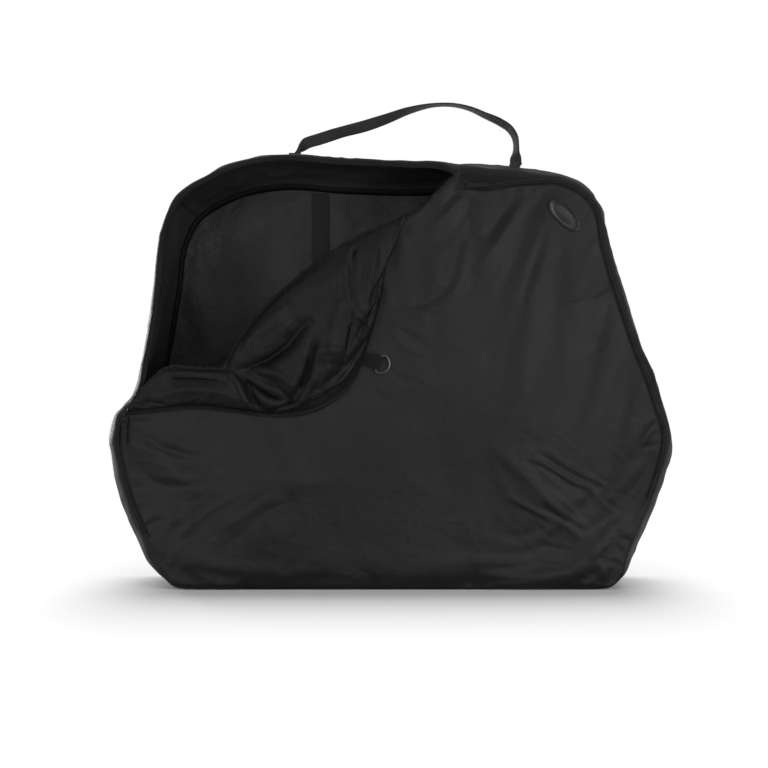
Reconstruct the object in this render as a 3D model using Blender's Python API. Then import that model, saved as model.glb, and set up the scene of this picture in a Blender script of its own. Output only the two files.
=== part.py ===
"""Soft travel bag for a bicycle, standing upright with one front corner unzipped and folded forward.

Metres, +Z up, +X to the right of the front panel, the front panel facing -Y.
The origin is at the middle of the footprint, on the surface that the bag stands on.
"""
import math

import bmesh
import bpy
from mathutils import Matrix, Vector

# Whole bag
BAG_WIDTH = 1.13
BAG_HEIGHT = 0.863
BAG_DEPTH = 0.235
GAP = 0.0003
SEAM_CLEARANCE = 0.0009

# Padded cloth: nylon outside, thin foam, lining inside
CLOTH = 0.004
FRONT_SWELL = 0.014
BACK_SWELL = 0.010
CROWN_POWER = 2.4

# Outline seen from the front, clockwise from the left end of the flat base.
# Each row: left to right as a share of the width, height as a share of the height,
# then how far the front seam and the back seam lie inside the outline, as shares of the depth.
OUTLINE_SHARES = [
    (-0.330, 0.000, 0.000, 0.000),
    (-0.378, 0.002, 0.020, 0.020),
    (-0.405, 0.020, 0.060, 0.060),
    (-0.430, 0.050, 0.100, 0.090),
    (-0.454, 0.108, 0.115, 0.100),
    (-0.478, 0.188, 0.110, 0.100),
    (-0.494, 0.275, 0.100, 0.100),
    (-0.500, 0.348, 0.095, 0.100),
    (-0.490, 0.400, 0.090, 0.100),
    (-0.457, 0.448, 0.075, 0.100),
    (-0.441, 0.525, 0.060, 0.110),
    (-0.420, 0.692, 0.060, 0.120),
    (-0.409, 0.820, 0.060, 0.140),
    (-0.386, 0.890, 0.060, 0.160),
    (-0.318, 0.958, 0.060, 0.180),
    (-0.203, 1.000, 0.060, 0.200),
    (-0.091, 0.992, 0.070, 0.200),
    (0.030, 0.987, 0.120, 0.200),
    (0.110, 0.989, 0.230, 0.200),
    (0.165, 0.990, 0.255, 0.200),
    (0.234, 0.979, 0.180, 0.180),
    (0.306, 0.957, 0.105, 0.150),
    (0.350, 0.922, 0.085, 0.120),
    (0.374, 0.882, 0.080, 0.110),
    (0.392, 0.785, 0.085, 0.100),
    (0.432, 0.616, 0.090, 0.100),
    (0.482, 0.436, 0.090, 0.100),
    (0.500, 0.355, 0.095, 0.100),
    (0.482, 0.230, 0.100, 0.100),
    (0.456, 0.142, 0.105, 0.100),
    (0.430, 0.066, 0.100, 0.090),
    (0.410, 0.020, 0.060, 0.060),
    (0.385, 0.002, 0.020, 0.020),
    (0.330, 0.000, 0.000, 0.000),
]
OUTLINE_STEPS = 2
ACROSS_SHARES = (-1.0, -0.82, -0.5, 0.0, 0.5, 0.82, 1.0)

# Where the side wall is sewn together and where the zip is open, as shares of the outline's length
LEFT_JOIN_SHARE = 0.262
RIGHT_JOIN_SHARE = 0.5134
BASE_LEFT_SHARE = 0.008
BASE_RIGHT_SHARE = 0.774
OPEN_START_SHARE = 0.134
OPEN_END_SHARE = 0.434
PANEL_CENTRE_SHARES = (0.040, 0.415)
PANEL_RING_SHARES = (1.0, 0.93, 0.78, 0.58, 0.36, 0.16)
EDGE_SLACK_SHARE = 0.001

# Edge of the front panel along the opening, from the left side up to the top, inside its two ends
OPENING_SHARES = [
    (-0.436, 0.448),
    (-0.392, 0.500),
    (-0.331, 0.502),
    (-0.274, 0.498),
    (-0.250, 0.587),
    (-0.208, 0.655),
    (-0.160, 0.702),
    (-0.114, 0.741),
    (-0.080, 0.774),
    (-0.005, 0.826),
    (0.047, 0.859),
]

# Folded-over corner of the front panel: its free edge, point for point with the opening's edge
FLAP_EDGE_SHARES = [
    (-0.433, 0.412),
    (-0.412, 0.414),
    (-0.332, 0.418),
    (-0.252, 0.407),
    (-0.178, 0.402),
    (-0.128, 0.417),
    (-0.086, 0.452),
    (-0.058, 0.500),
    (-0.034, 0.585),
    (-0.012, 0.700),
    (0.036, 0.790),
]
FLAP_REACH = 0.052
FLAP_REACH_SHARES = (0.42, 0.62, 0.74, 0.80, 0.95, 1.0, 1.0, 0.92, 0.80, 0.62, 0.25)
FLAP_SECTION_SHARES = (
    (0.00, 0.12),
    (-0.03, 0.36),
    (0.03, 0.68),
    (0.20, 0.93),
    (0.42, 1.00),
    (0.66, 0.86),
    (0.86, 0.52),
    (0.97, 0.16),
    (1.00, 0.00),
)
FLAP_STEPS = 2
FLAP_SWELL_SHARE = 0.807
FOLD_ROWS = (1, 8)

# Zip
ZIP_WIDTH = 0.010
ZIP_THICKNESS = 0.0025
ZIP_INSET = 0.009
ZIP_RIGHT_END_SHARE = 0.708
ZIP_LEFT_END_SHARE = 0.054
SLIDER_LENGTH = 0.022
SLIDER_WIDTH = 0.014
SLIDER_HEIGHT = 0.006
EAR_HEIGHT = 0.005
EAR_WIDTH = 0.002
EAR_LENGTH = 0.005
PULL_LENGTH = 0.042
PULL_WIDTH = 0.0085
PULL_THICKNESS = 0.002
BARREL_RADIUS = 0.0016
STOP_LENGTH = 0.008
STOP_HEIGHT = 0.003
SLIDER_RUN = 0.10
ZIP_HALF_TRIM = 0.085

# Seam binding tape inside the bag
BINDING_WIDTH = 0.014
BINDING_THICKNESS = 0.0015

# Base board and foam pad
BOARD_LENGTH = 0.72
BOARD_THICKNESS = 0.003
PAD_THICKNESS = 0.010
BOARD_MARGIN = 0.020
BOARD_CORNER = 0.020

# Carry handle of flat webbing
HANDLE_LEFT_SHARE = 0.3385
HANDLE_RIGHT_SHARE = 0.4688
WEBBING_WIDTH = 0.022
WEBBING_THICKNESS = 0.0025
ANCHOR_LENGTH = 0.060
HANDLE_RISE = 0.112
HANDLE_PIVOT_RISE = 0.003
# Each row: place along the span, height as a share of the rise, twist as a share of a quarter turn
HANDLE_SHARES = [
    (0.000, 0.000, 0.00),
    (0.004, 0.130, 0.00),
    (0.034, 0.270, 0.00),
    (0.180, 0.470, 0.00),
    (0.343, 0.670, 0.09),
    (0.516, 0.890, 0.28),
    (0.638, 1.000, 0.75),
    (0.748, 0.980, 0.80),
    (0.848, 0.855, 0.55),
    (0.944, 0.650, 0.38),
    (0.988, 0.460, 0.16),
    (0.998, 0.200, 0.00),
    (1.000, 0.000, 0.00),
]
HANDLE_STEPS = 3

# Ring and tab on the flap
RING_WIRE = 0.0036
RING_WIDTH = 0.036
RING_DEPTH = 0.021
RING_BAR_SHARES = (-0.92, -0.46, 0.0, 0.46, 0.92)
TAB_WIDTH = 0.030
TAB_LENGTH = 0.020
TAB_THICKNESS = 0.0016
TAB_EDGE_SHARE = 0.735

# Oval rubber badge on the front panel
BADGE_LENGTH = 0.080
BADGE_BREADTH = 0.035
BADGE_THICKNESS = 0.003
BADGE_TILT = -45.0
BADGE_SHARES = (0.300, 0.848)
BADGE_RING_SHARES = (1.0, 0.6, 0.25)

# Strap on the inside of the back panel
STRAP_WIDTH = 0.036
STRAP_THICKNESS = 0.002
STRAP_X_SHARE = -0.130
STRAP_TOP_SHARE = 0.930
STRAP_LOW_SHARE = 0.330
STRAP_FOOT_SHARE = 0.150
LOCK_LENGTH = 0.034
LOCK_SIDE = 0.005
LOCK_BAR = 0.004
LOCK_THICKNESS = 0.003
STRIP_STEP = 0.060

FLAP_FRONT = BAG_DEPTH / 2 + GAP + CLOTH + FLAP_SWELL_SHARE * FRONT_SWELL + FLAP_REACH
SHELL_BACK = BAG_DEPTH / 2 + GAP + CLOTH + BACK_SWELL
SHELL_Y = (FLAP_FRONT - SHELL_BACK) / 2


# Finishes

def finish(name, colour, roughness, metallic=0.0):
    material = bpy.data.materials.new(name)
    material.use_nodes = True
    shader = material.node_tree.nodes["Principled BSDF"]
    shader.inputs["Base Color"].default_value = (*colour, 1.0)
    shader.inputs["Roughness"].default_value = roughness
    shader.inputs["Metallic"].default_value = metallic
    return material


# Building closed solids

def solid(name, points, faces, material, pivot=None):
    """One closed solid from world points; its origin goes to the pivot."""
    pivot = pivot or Vector((0.0, 0.0, 0.0))
    mesh = bpy.data.meshes.new(name)
    mesh.from_pydata([tuple(Vector(point) - pivot) for point in points], [], faces)
    shape = bmesh.new()
    shape.from_mesh(mesh)
    bmesh.ops.recalc_face_normals(shape, faces=shape.faces)
    shape.to_mesh(mesh)
    shape.free()
    mesh.materials.append(material)
    mesh.shade_smooth()
    mesh.set_sharp_from_angle(angle=math.radians(35))
    item = bpy.data.objects.new(name, mesh)
    item.location = pivot
    bpy.context.collection.objects.link(item)


def slab(name, outer, inner, material, closed=False, pivot=None):
    """Closed solid between two grids of points; closed joins the last row to the first."""
    rows = len(outer)
    columns = len(outer[0])
    points = [point for row in outer for point in row]
    points += [point for row in inner for point in row]
    half = rows * columns
    row_steps = rows if closed else rows - 1
    faces = []
    for i in range(row_steps):
        k = (i + 1) % rows
        for j in range(columns - 1):
            quad = (i * columns + j, k * columns + j, k * columns + j + 1, i * columns + j + 1)
            faces.append(quad)
            faces.append(tuple(half + corner for corner in reversed(quad)))
        for j in (0, columns - 1):
            faces.append((i * columns + j, k * columns + j, half + k * columns + j, half + i * columns + j))
    if not closed:
        for i in (0, rows - 1):
            for j in range(columns - 1):
                a = i * columns + j
                faces.append((a, a + 1, half + a + 1, half + a))
    solid(name, points, faces, material, pivot)


def sweep(name, rings, material, closed=False, pivot=None):
    """Closed tube through rings of points, with flat ends unless it closes on itself."""
    count = len(rings[0])
    points = [point for ring in rings for point in ring]
    faces = []
    steps = len(rings) if closed else len(rings) - 1
    for i in range(steps):
        k = (i + 1) % len(rings)
        for j in range(count):
            n = (j + 1) % count
            faces.append((i * count + j, i * count + n, k * count + n, k * count + j))
    if not closed:
        faces.append(tuple(range(count)))
        faces.append(tuple(range((len(rings) - 1) * count, len(rings) * count)))
    solid(name, points, faces, material, pivot)


def disc(name, outer_rings, outer_middle, inner_rings, inner_middle, material, pivot=None):
    """Closed plate from rings of points that shrink to a middle point, on both of its sides."""
    count = len(outer_rings[0])
    points = []
    faces = []
    for rings, middle in ((outer_rings, outer_middle), (inner_rings, inner_middle)):
        start = len(points)
        points += [point for ring in rings for point in ring]
        points.append(middle)
        for i in range(len(rings)):
            for j in range(count):
                n = (j + 1) % count
                a = start + i * count
                if i + 1 < len(rings):
                    faces.append((a + j, a + n, a + count + n, a + count + j))
                else:
                    faces.append((a + j, a + n, len(points) - 1))
    half = len(outer_rings) * count + 1
    for j in range(count):
        n = (j + 1) % count
        faces.append((j, n, half + n, half + j))
    solid(name, points, faces, material, pivot)


class Corners:
    """Corner points and faces of a solid made of flat-sided blocks, each corner kept once."""

    def __init__(self):
        self.points = []
        self.faces = []
        self.index = {}

    def quad(self, *corners):
        for key in corners:
            if key not in self.index:
                self.index[key] = len(self.points)
                self.points.append(key)
        self.faces.append(tuple(self.index[key] for key in corners))


# Curves

def smooth_path(rows, steps, closed=False):
    """Points of a smooth curve through the rows, which may hold any number of values."""
    points = [Vector(row) for row in rows]
    count = len(points)
    spans = count if closed else count - 1
    lengths = [(points[(i + 1) % count] - points[i]).length for i in range(spans)]
    slopes = []
    for i in range(count):
        if closed or 0 < i < count - 1:
            before = lengths[i - 1]
            after = lengths[i]
            back = (points[i] - points[i - 1]) / before
            ahead = (points[(i + 1) % count] - points[i]) / after
            slopes.append((back * after + ahead * before) / (before + after))
        else:
            k = min(i, spans - 1)
            slopes.append((points[k + 1] - points[k]) / lengths[k])
    path = []
    for i in range(spans):
        a, b = points[i], points[(i + 1) % count]
        leave = slopes[i] * lengths[i]
        arrive = slopes[(i + 1) % count] * lengths[i]
        for step in range(steps):
            t = step / steps
            bend = 3 * (b - a) - 2 * leave - arrive
            turn = 2 * (a - b) + leave + arrive
            path.append(a + leave * t + bend * t * t + turn * t ** 3)
    if not closed:
        path.append(points[-1])
    return path


def crown(across):
    """How much of a seam's inset the side wall has at a place across it, straight between its columns."""
    for low, high in zip(ACROSS_SHARES, ACROSS_SHARES[1:]):
        if across <= high:
            t = (across - low) / (high - low)
            return abs(low) ** CROWN_POWER * (1.0 - t) + abs(high) ** CROWN_POWER * t
    return 1.0


class Outline:
    """The bag's outline by distance along it, with the inward direction at each station."""

    def __init__(self):
        rows = []
        for x, z, front, back in OUTLINE_SHARES:
            rows.append((x * BAG_WIDTH, z * BAG_HEIGHT, front * BAG_DEPTH, back * BAG_DEPTH))
        self.rows = smooth_path(rows, OUTLINE_STEPS, closed=True)
        count = len(self.rows)
        for row in self.rows:
            for k in (1, 2, 3):
                row[k] = max(row[k], 0.0)
        self.inwards = []
        self.marks = [0.0]
        for i in range(count):
            ahead = self.rows[(i + 1) % count].to_2d() - self.rows[i - 1].to_2d()
            self.inwards.append(Vector((ahead.y, -ahead.x)).normalized())
            step = self.rows[(i + 1) % count].to_2d() - self.rows[i].to_2d()
            self.marks.append(self.marks[-1] + step.length)
        self.length = self.marks[-1]

    def around(self, place):
        """The two stations on either side of a place, and how far it lies between them."""
        place = place % self.length
        count = len(self.rows)
        for i in range(count):
            if place <= self.marks[i + 1]:
                t = (place - self.marks[i]) / (self.marks[i + 1] - self.marks[i])
                return i, (i + 1) % count, t
        return count - 1, 0, 1.0

    def inward(self, place):
        a, b, t = self.around(place)
        return self.inwards[a].lerp(self.inwards[b], t).normalized()

    def station_wall(self, i, across, lift):
        row = self.rows[i]
        inward = self.inwards[i]
        inset = row[2] if across < 0 else row[3]
        drop = inset * crown(across) - lift
        y = SHELL_Y + across * BAG_DEPTH / 2
        return Vector((row[0] + inward.x * drop, y, row[1] + inward.y * drop))

    def side_wall(self, place, across, lift=0.0):
        """Point of the side wall; across goes from -1 at the front seam to 1 at the back seam."""
        a, b, t = self.around(place)
        return self.station_wall(a, across, lift).lerp(self.station_wall(b, across, lift), t)

    def seam(self, place, side, inset=0.0):
        """Place of the front (-1) or back (1) seam in the panel's plane, moved inward by the inset."""
        point = self.side_wall(place, float(side), -inset)
        return Vector((point.x, point.z))

    def places(self, start_share, end_share, trim=0.0):
        """The two ends, pulled in by the trim, and every station between them."""
        start = start_share * self.length + trim
        end = end_share * self.length - trim
        marks = []
        for turn in (0.0, self.length):
            marks += [mark + turn for mark in self.marks[:-1]]
        between = [mark for mark in marks if start + GAP < mark < end - GAP]
        return [start] + between + [end]


class Panel:
    """A domed panel: its edge in its own plane and how far any point stands out."""

    def __init__(self, edge, side, swell):
        self.edge = edge
        self.side = side
        self.swell = swell
        self.middle = Vector((PANEL_CENTRE_SHARES[0] * BAG_WIDTH, PANEL_CENTRE_SHARES[1] * BAG_HEIGHT))

    def share(self, flat):
        """How far out a point lies, from 0 at the middle to 1 at the panel's edge."""
        ray = flat - self.middle
        if ray.length < GAP:
            return 0.0
        reach = 0.0
        count = len(self.edge)
        for i in range(count):
            a = self.edge[i] - self.middle
            b = self.edge[(i + 1) % count] - self.middle
            along = b - a
            cross = ray.x * along.y - ray.y * along.x
            if abs(cross) < GAP * GAP:
                continue
            t = (a.x * along.y - a.y * along.x) / cross
            s = (a.x * ray.y - a.y * ray.x) / cross
            if t > 0.0 and -EDGE_SLACK_SHARE <= s <= 1.0 + EDGE_SLACK_SHARE:
                reach = max(reach, t)
        return min(1.0, 1.0 / reach) if reach else 1.0

    def out(self, share):
        """Distance of the panel's inner face from the bag's middle plane."""
        return BAG_DEPTH / 2 + GAP + self.swell * (1.0 - share ** 2)

    def point(self, flat, lift):
        """World point over a place on the panel; lift is measured outward from the inner face."""
        depth = self.out(self.share(flat)) + lift
        return Vector((flat.x, SHELL_Y + self.side * depth, flat.y))

    def build(self, name, material):
        sides = []
        for lift in (CLOTH, 0.0):
            rings = []
            for share in PANEL_RING_SHARES:
                ring = []
                for flat in self.edge:
                    place = self.middle.lerp(flat, share)
                    depth = self.out(share) + lift
                    ring.append(Vector((place.x, SHELL_Y + self.side * depth, place.y)))
                rings.append(ring)
            depth = self.out(0.0) + lift
            top = Vector((self.middle.x, SHELL_Y + self.side * depth, self.middle.y))
            sides.append((rings, top))
        disc(name, sides[0][0], sides[0][1], sides[1][0], sides[1][1], material)


# Shell of the bag

def side_band(outline, name, start_share, end_share, material):
    places = outline.places(start_share, end_share, GAP / 2)
    outer = [[outline.side_wall(place, across) for across in ACROSS_SHARES] for place in places]
    inner = [[outline.side_wall(place, across, -CLOTH) for across in ACROSS_SHARES] for place in places]
    slab(name, outer, inner, material)


def opening_edge(outline):
    """Edge of the front panel along the opening, from its left end to its top end."""
    start = outline.seam(OPEN_START_SHARE * outline.length, -1)
    end = outline.seam(OPEN_END_SHARE * outline.length, -1)
    rows = [start]
    rows += [Vector((x * BAG_WIDTH, z * BAG_HEIGHT)) for x, z in OPENING_SHARES]
    rows.append(end)
    return smooth_path(rows, FLAP_STEPS)


def front_edge(outline):
    places = outline.places(OPEN_END_SHARE, 1.0 + OPEN_START_SHARE)
    closed_run = [outline.seam(place, -1) for place in places]
    return closed_run + opening_edge(outline)[1:-1]


def back_edge(outline):
    places = outline.places(0.0, 1.0)[:-1]
    return [outline.seam(place, 1) for place in places]


def inner_tape(outline, name, side, start_share, end_share, closed, material):
    """Binding tape that covers a seam on the inside of the side wall."""
    places = outline.places(start_share, end_share, 0.0 if closed else BINDING_WIDTH)
    if closed:
        places = places[:-1]
    near = side * (1.0 - GAP / (BAG_DEPTH / 2))
    far = side * (1.0 - BINDING_WIDTH / (BAG_DEPTH / 2))
    lift = -CLOTH - SEAM_CLEARANCE
    deep = lift - BINDING_THICKNESS
    outer = [[outline.side_wall(place, across, lift) for across in (near, far)] for place in places]
    inner = [[outline.side_wall(place, across, deep) for across in (near, far)] for place in places]
    slab(name, outer, inner, material, closed=closed)


def base_sheet(name, low, thickness, material):
    """Flat sheet with cut corners inside the bag, lying at the given height."""
    x = BOARD_LENGTH / 2
    y = BAG_DEPTH / 2 - BOARD_MARGIN
    cut = BOARD_CORNER
    corners = [
        (-x, -y + cut), (-x + cut, -y), (x - cut, -y), (x, -y + cut),
        (x, y - cut), (x - cut, y), (-x + cut, y), (-x, y - cut),
    ]
    rings = []
    for z in (low, low + thickness):
        rings.append([Vector((cx, SHELL_Y + cy, z)) for cx, cy in corners])
    sweep(name, rings, material)


# Folded-over corner

def flap_rows(outline):
    """Rows along the fold: a point of the opening's edge, one of the free edge, and the reach there."""
    free_rows = []
    for free, reach in zip(FLAP_EDGE_SHARES, FLAP_REACH_SHARES):
        free_rows.append((free[0] * BAG_WIDTH, free[1] * BAG_HEIGHT, reach * FLAP_REACH))
    free_path = smooth_path(free_rows, FLAP_STEPS)
    hem_path = opening_edge(outline)[FLAP_STEPS:-FLAP_STEPS]
    return [(hem, free.to_2d(), free.z) for hem, free in zip(hem_path, free_path)]


def flap_grid(outline, front):
    """Middle surface of the folded corner, from the opening's edge forward and down to its free edge."""
    grid = []
    rows = flap_rows(outline)
    for i, (hem, free, reach) in enumerate(rows):
        edge = rows[min(i + 1, len(rows) - 1)][0] - rows[max(i - 1, 0)][0]
        away = Vector((-edge.y, edge.x)).normalized()
        start = hem + away * (CLOTH / 2 + SEAM_CLEARANCE)
        line = []
        for j, (along, forward) in enumerate(FLAP_SECTION_SHARES):
            lift = CLOTH * 3 / 2 + GAP if j else CLOTH / 2
            line.append(front.point(start.lerp(free, along), lift + forward * reach))
        grid.append(line)
    return grid


def offset_grid(grid, distance):
    """The grid moved along its own normals."""
    rows = len(grid)
    columns = len(grid[0])
    moved = []
    for i in range(rows):
        line = []
        for j in range(columns):
            down = grid[min(i + 1, rows - 1)][j] - grid[max(i - 1, 0)][j]
            across = grid[i][min(j + 1, columns - 1)] - grid[i][max(j - 1, 0)]
            line.append(grid[i][j] + down.cross(across).normalized() * distance)
        moved.append(line)
    return moved


def fold_axis():
    """The line that the corner folds about: just outside the two highest bends of the opening's edge."""
    a, b = (Vector((x * BAG_WIDTH, z * BAG_HEIGHT)) for x, z in (OPENING_SHARES[i] for i in FOLD_ROWS))
    along = (b - a).normalized()
    away = Vector((-along.y, along.x)) * CLOTH
    y = SHELL_Y - BAG_DEPTH / 2 - GAP - CLOTH / 2
    return Vector((a.x + away.x, y, a.y + away.y)), Vector((b.x + away.x, y, b.y + away.y))


# Zip

def strip_rings(front, spots, width, thickness, low=CLOTH + GAP):
    """Four-sided rings of a strip on the front panel; each spot has a place and a direction across it."""
    rings = []
    for flat, across in spots:
        near = flat - across * width / 2
        far = flat + across * width / 2
        high = low + thickness
        rings.append([
            front.point(near, low), front.point(far, low),
            front.point(far, high), front.point(near, high),
        ])
    return rings


def seam_spots(outline, places):
    return [(outline.seam(place, -1, ZIP_INSET), outline.inward(place)) for place in places]


def closed_zip(outline, front, name, start_share, end_share, material, slider_first):
    """Closed zip beside the front seam, with a straight level run where its slider moves."""
    spots = seam_spots(outline, outline.places(start_share, end_share))
    if not slider_first:
        spots.reverse()
    travelled = 0.0
    last = 0
    while travelled < SLIDER_RUN + SLIDER_LENGTH:
        travelled += (spots[last + 1][0] - spots[last][0]).length
        last += 1
    a, b = spots[0][0], spots[last][0]
    run = (b - a).normalized()
    across = Vector((run.y, -run.x)) * (1 if slider_first else -1)
    for i in range(last + 1):
        spots[i] = (a.lerp(b, i / last), across)
    rings = strip_rings(front, spots, ZIP_WIDTH, ZIP_THICKNESS)
    level = min(corner.y for ring in rings[:last + 1] for corner in ring[:2])
    for ring in rings[:last + 1]:
        for k, corner in enumerate(ring):
            corner.y = level if k < 2 else level - ZIP_THICKNESS
    sweep(name, rings, material)
    start = Vector((a.x, level, a.y))
    return start, Vector((run.x, 0.0, run.y))


def zip_stop(name, outline, front, place, material):
    """Metal stop crimped over the end of the closed zip."""
    places = [place - STOP_LENGTH / 2, place + STOP_LENGTH / 2]
    spots = seam_spots(outline, places)
    sweep(name, strip_rings(front, spots, ZIP_WIDTH, STOP_HEIGHT), material)


def open_gusset_zip(outline, material):
    """Half of the open zip on the side wall's free edge."""
    rings = []
    low_end = OPEN_START_SHARE + ZIP_HALF_TRIM / outline.length
    high_end = OPEN_END_SHARE - SLIDER_LENGTH / outline.length
    for place in outline.places(low_end, high_end):
        outer = outline.seam(place, -1)
        inner = outline.seam(place, -1, ZIP_WIDTH)
        back = SHELL_Y - BAG_DEPTH / 2 - GAP
        front = back - ZIP_THICKNESS
        corners = ((outer, back), (inner, back), (inner, front), (outer, front))
        rings.append([Vector((flat.x, y, flat.y)) for flat, y in corners])
    sweep("zip_half_gusset", rings, material)


def open_flap_zip(outline, front, material, fold):
    """Half of the open zip on the folded corner's free edge."""
    free_edge = [row[1] for row in flap_rows(outline)]
    spots = []
    for i, free in enumerate(free_edge):
        edge = (free_edge[min(i + 1, len(free_edge) - 1)] - free_edge[max(i - 1, 0)]).normalized()
        out = Vector((edge.y, -edge.x))
        spots.append((free + out * (CLOTH / 2 + GAP + ZIP_WIDTH / 2), out))
    rings = strip_rings(front, spots, ZIP_WIDTH, ZIP_THICKNESS, CLOTH + SEAM_CLEARANCE)
    sweep("zip_half_flap", rings, material, pivot=fold)


def local_frame(origin, along, forward):
    """Matrix with X along the given direction, Z forward, Y across."""
    x = along.normalized()
    y = forward.cross(x).normalized()
    z = x.cross(y).normalized()
    frame = Matrix((x, y, z)).transposed().to_4x4()
    frame.translation = origin
    return frame


def slider(name, start, along, material):
    """Slider body with two ears; local X along the zip, local Z away from the panel."""
    frame = local_frame(start + along * SLIDER_LENGTH / 2, along, Vector((0.0, -1.0, 0.0)))
    low = ZIP_THICKNESS + GAP
    top = low + SLIDER_HEIGHT / 2
    ear_top = top + EAR_HEIGHT
    block = ear_block(low, top, ear_top)
    points = [frame @ Vector(point) for point in block.points]
    solid(name, points, block.faces, material, frame.translation)
    return frame, ear_top


def ear_block(low, top, ear_top):
    """Slider plate as one grid of quads, with the two ears raised from its top face."""
    half = SLIDER_LENGTH / 2
    ear = EAR_LENGTH / 2
    inner = PULL_WIDTH / 2 + GAP
    outer = inner + EAR_WIDTH
    edge = max(SLIDER_WIDTH / 2, outer + GAP)
    xs = (-half, -ear, ear, half)
    ys = (-edge, -outer, -inner, inner, outer, edge)
    block = Corners()
    for i in range(len(xs) - 1):
        for j in range(len(ys) - 1):
            x0, x1, y0, y1 = xs[i], xs[i + 1], ys[j], ys[j + 1]
            block.quad((x0, y0, low), (x0, y1, low), (x1, y1, low), (x1, y0, low))
            raised = i == 1 and j in (1, 3)
            z = ear_top if raised else top
            block.quad((x0, y0, z), (x1, y0, z), (x1, y1, z), (x0, y1, z))
            if raised:
                edges = ((x0, y0, x1, y0), (x1, y0, x1, y1), (x1, y1, x0, y1), (x0, y1, x0, y0))
                for ax, ay, bx, by in edges:
                    block.quad((ax, ay, top), (bx, by, top), (bx, by, z), (ax, ay, z))
    for y0, y1 in zip(ys, ys[1:]):
        for x in (xs[0], xs[-1]):
            block.quad((x, y0, low), (x, y1, low), (x, y1, top), (x, y0, top))
    for x0, x1 in zip(xs, xs[1:]):
        for y in (ys[0], ys[-1]):
            block.quad((x0, y, low), (x1, y, low), (x1, y, top), (x0, y, top))
    return block


def pull_tab(name, frame, ear_top, material):
    """Pull tab with a round barrel between the ears, lying along the zip."""
    barrel = ear_top - EAR_HEIGHT / 2
    pivot = frame @ Vector((0.0, 0.0, barrel))
    half = PULL_WIDTH / 2
    thick = PULL_THICKNESS / 2
    spread = math.asin(thick / BARREL_RADIUS)
    arc = []
    count = 7
    for i in range(count):
        angle = spread + (2 * math.pi - 2 * spread) * i / (count - 1)
        arc.append((BARREL_RADIUS * math.cos(angle), barrel + BARREL_RADIUS * math.sin(angle)))
    profile = arc + [(PULL_LENGTH, barrel - thick), (PULL_LENGTH, barrel + thick)]
    rings = []
    for y in (-half, half):
        rings.append([frame @ Vector((x, y, z)) for x, z in profile])
    sweep(name, rings, material, pivot=pivot)


# Carry handle

def anchor_patch(outline, name, share, material):
    """Webbing end sewn flat over the crown of the top wall."""
    half = WEBBING_WIDTH / 2 / outline.length
    reach = ANCHOR_LENGTH / BAG_DEPTH
    places = outline.places(share - half, share + half)
    crosses = [reach * step for step in (-1.0, -0.5, 0.0, 0.5, 1.0)]
    lifts = (2 * GAP + WEBBING_THICKNESS, 2 * GAP)
    outer, inner = ([[outline.side_wall(p, a, lift) for a in crosses] for p in places] for lift in lifts)
    slab(name, outer, inner, material)


def handle_ends(outline):
    lift = 4 * GAP + WEBBING_THICKNESS
    left = outline.side_wall(HANDLE_LEFT_SHARE * outline.length, 0.0, lift)
    right = outline.side_wall(HANDLE_RIGHT_SHARE * outline.length, 0.0, lift)
    return left, right


def carry_handle(outline, name, material):
    left, right = handle_ends(outline)
    path = smooth_path(HANDLE_SHARES, HANDLE_STEPS)
    centres = []
    for along, rise, twist in path:
        point = left.lerp(right, along)
        point.z += rise * HANDLE_RISE
        centres.append(point)
    rings = []
    for i, point in enumerate(centres):
        ahead = centres[min(i + 1, len(centres) - 1)] - centres[max(i - 1, 0)]
        if i == 0:
            inward = outline.inward(HANDLE_LEFT_SHARE * outline.length)
            ahead = Vector((-inward.x, 0.0, -inward.y))
        if i == len(centres) - 1:
            inward = outline.inward(HANDLE_RIGHT_SHARE * outline.length)
            ahead = Vector((inward.x, 0.0, inward.y))
        ahead.normalize()
        flat = Vector((0.0, 1.0, 0.0)).cross(ahead).normalized()
        twist = path[i][2] * math.pi / 2
        wide = flat * math.cos(twist) + Vector((0.0, 1.0, 0.0)) * math.sin(twist)
        thick = ahead.cross(wide).normalized() * WEBBING_THICKNESS / 2
        wide = wide * WEBBING_WIDTH / 2
        signs = ((-1, -1), (1, -1), (1, 1), (-1, 1))
        rings.append([point + wide * a + thick * b for a, b in signs])
    pivot = left + Vector((0.0, 0.0, HANDLE_PIVOT_RISE))
    sweep(name, rings, material, pivot=pivot)


# Ring and tab

def tab_frame(outline, front):
    """Frame at the ring's bar: X along the bar, Y towards the flap's edge, Z away from the panel."""
    rows = flap_rows(outline)
    place = TAB_EDGE_SHARE * (len(rows) - 1)
    i = int(place)
    hem = rows[i][0].lerp(rows[i + 1][0], place - i)
    free = rows[i][1].lerp(rows[i + 1][1], place - i)
    edge = (rows[i + 1][1] - rows[i][1]).normalized()
    out = Vector((edge.y, -edge.x))
    if out.dot(free - hem) < 0:
        out = -out
    spot = free + out * (CLOTH + ZIP_WIDTH + GAP + TAB_LENGTH)
    lift = CLOTH + GAP + TAB_THICKNESS + GAP + RING_WIRE / 2
    origin = front.point(spot, lift)
    x = Vector((edge.x, 0.0, edge.y))
    y = Vector((-out.x, 0.0, -out.y))
    z = Vector((0.0, -1.0, 0.0))
    frame = Matrix((x, y, z)).transposed().to_4x4()
    frame.translation = origin
    return frame


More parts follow.
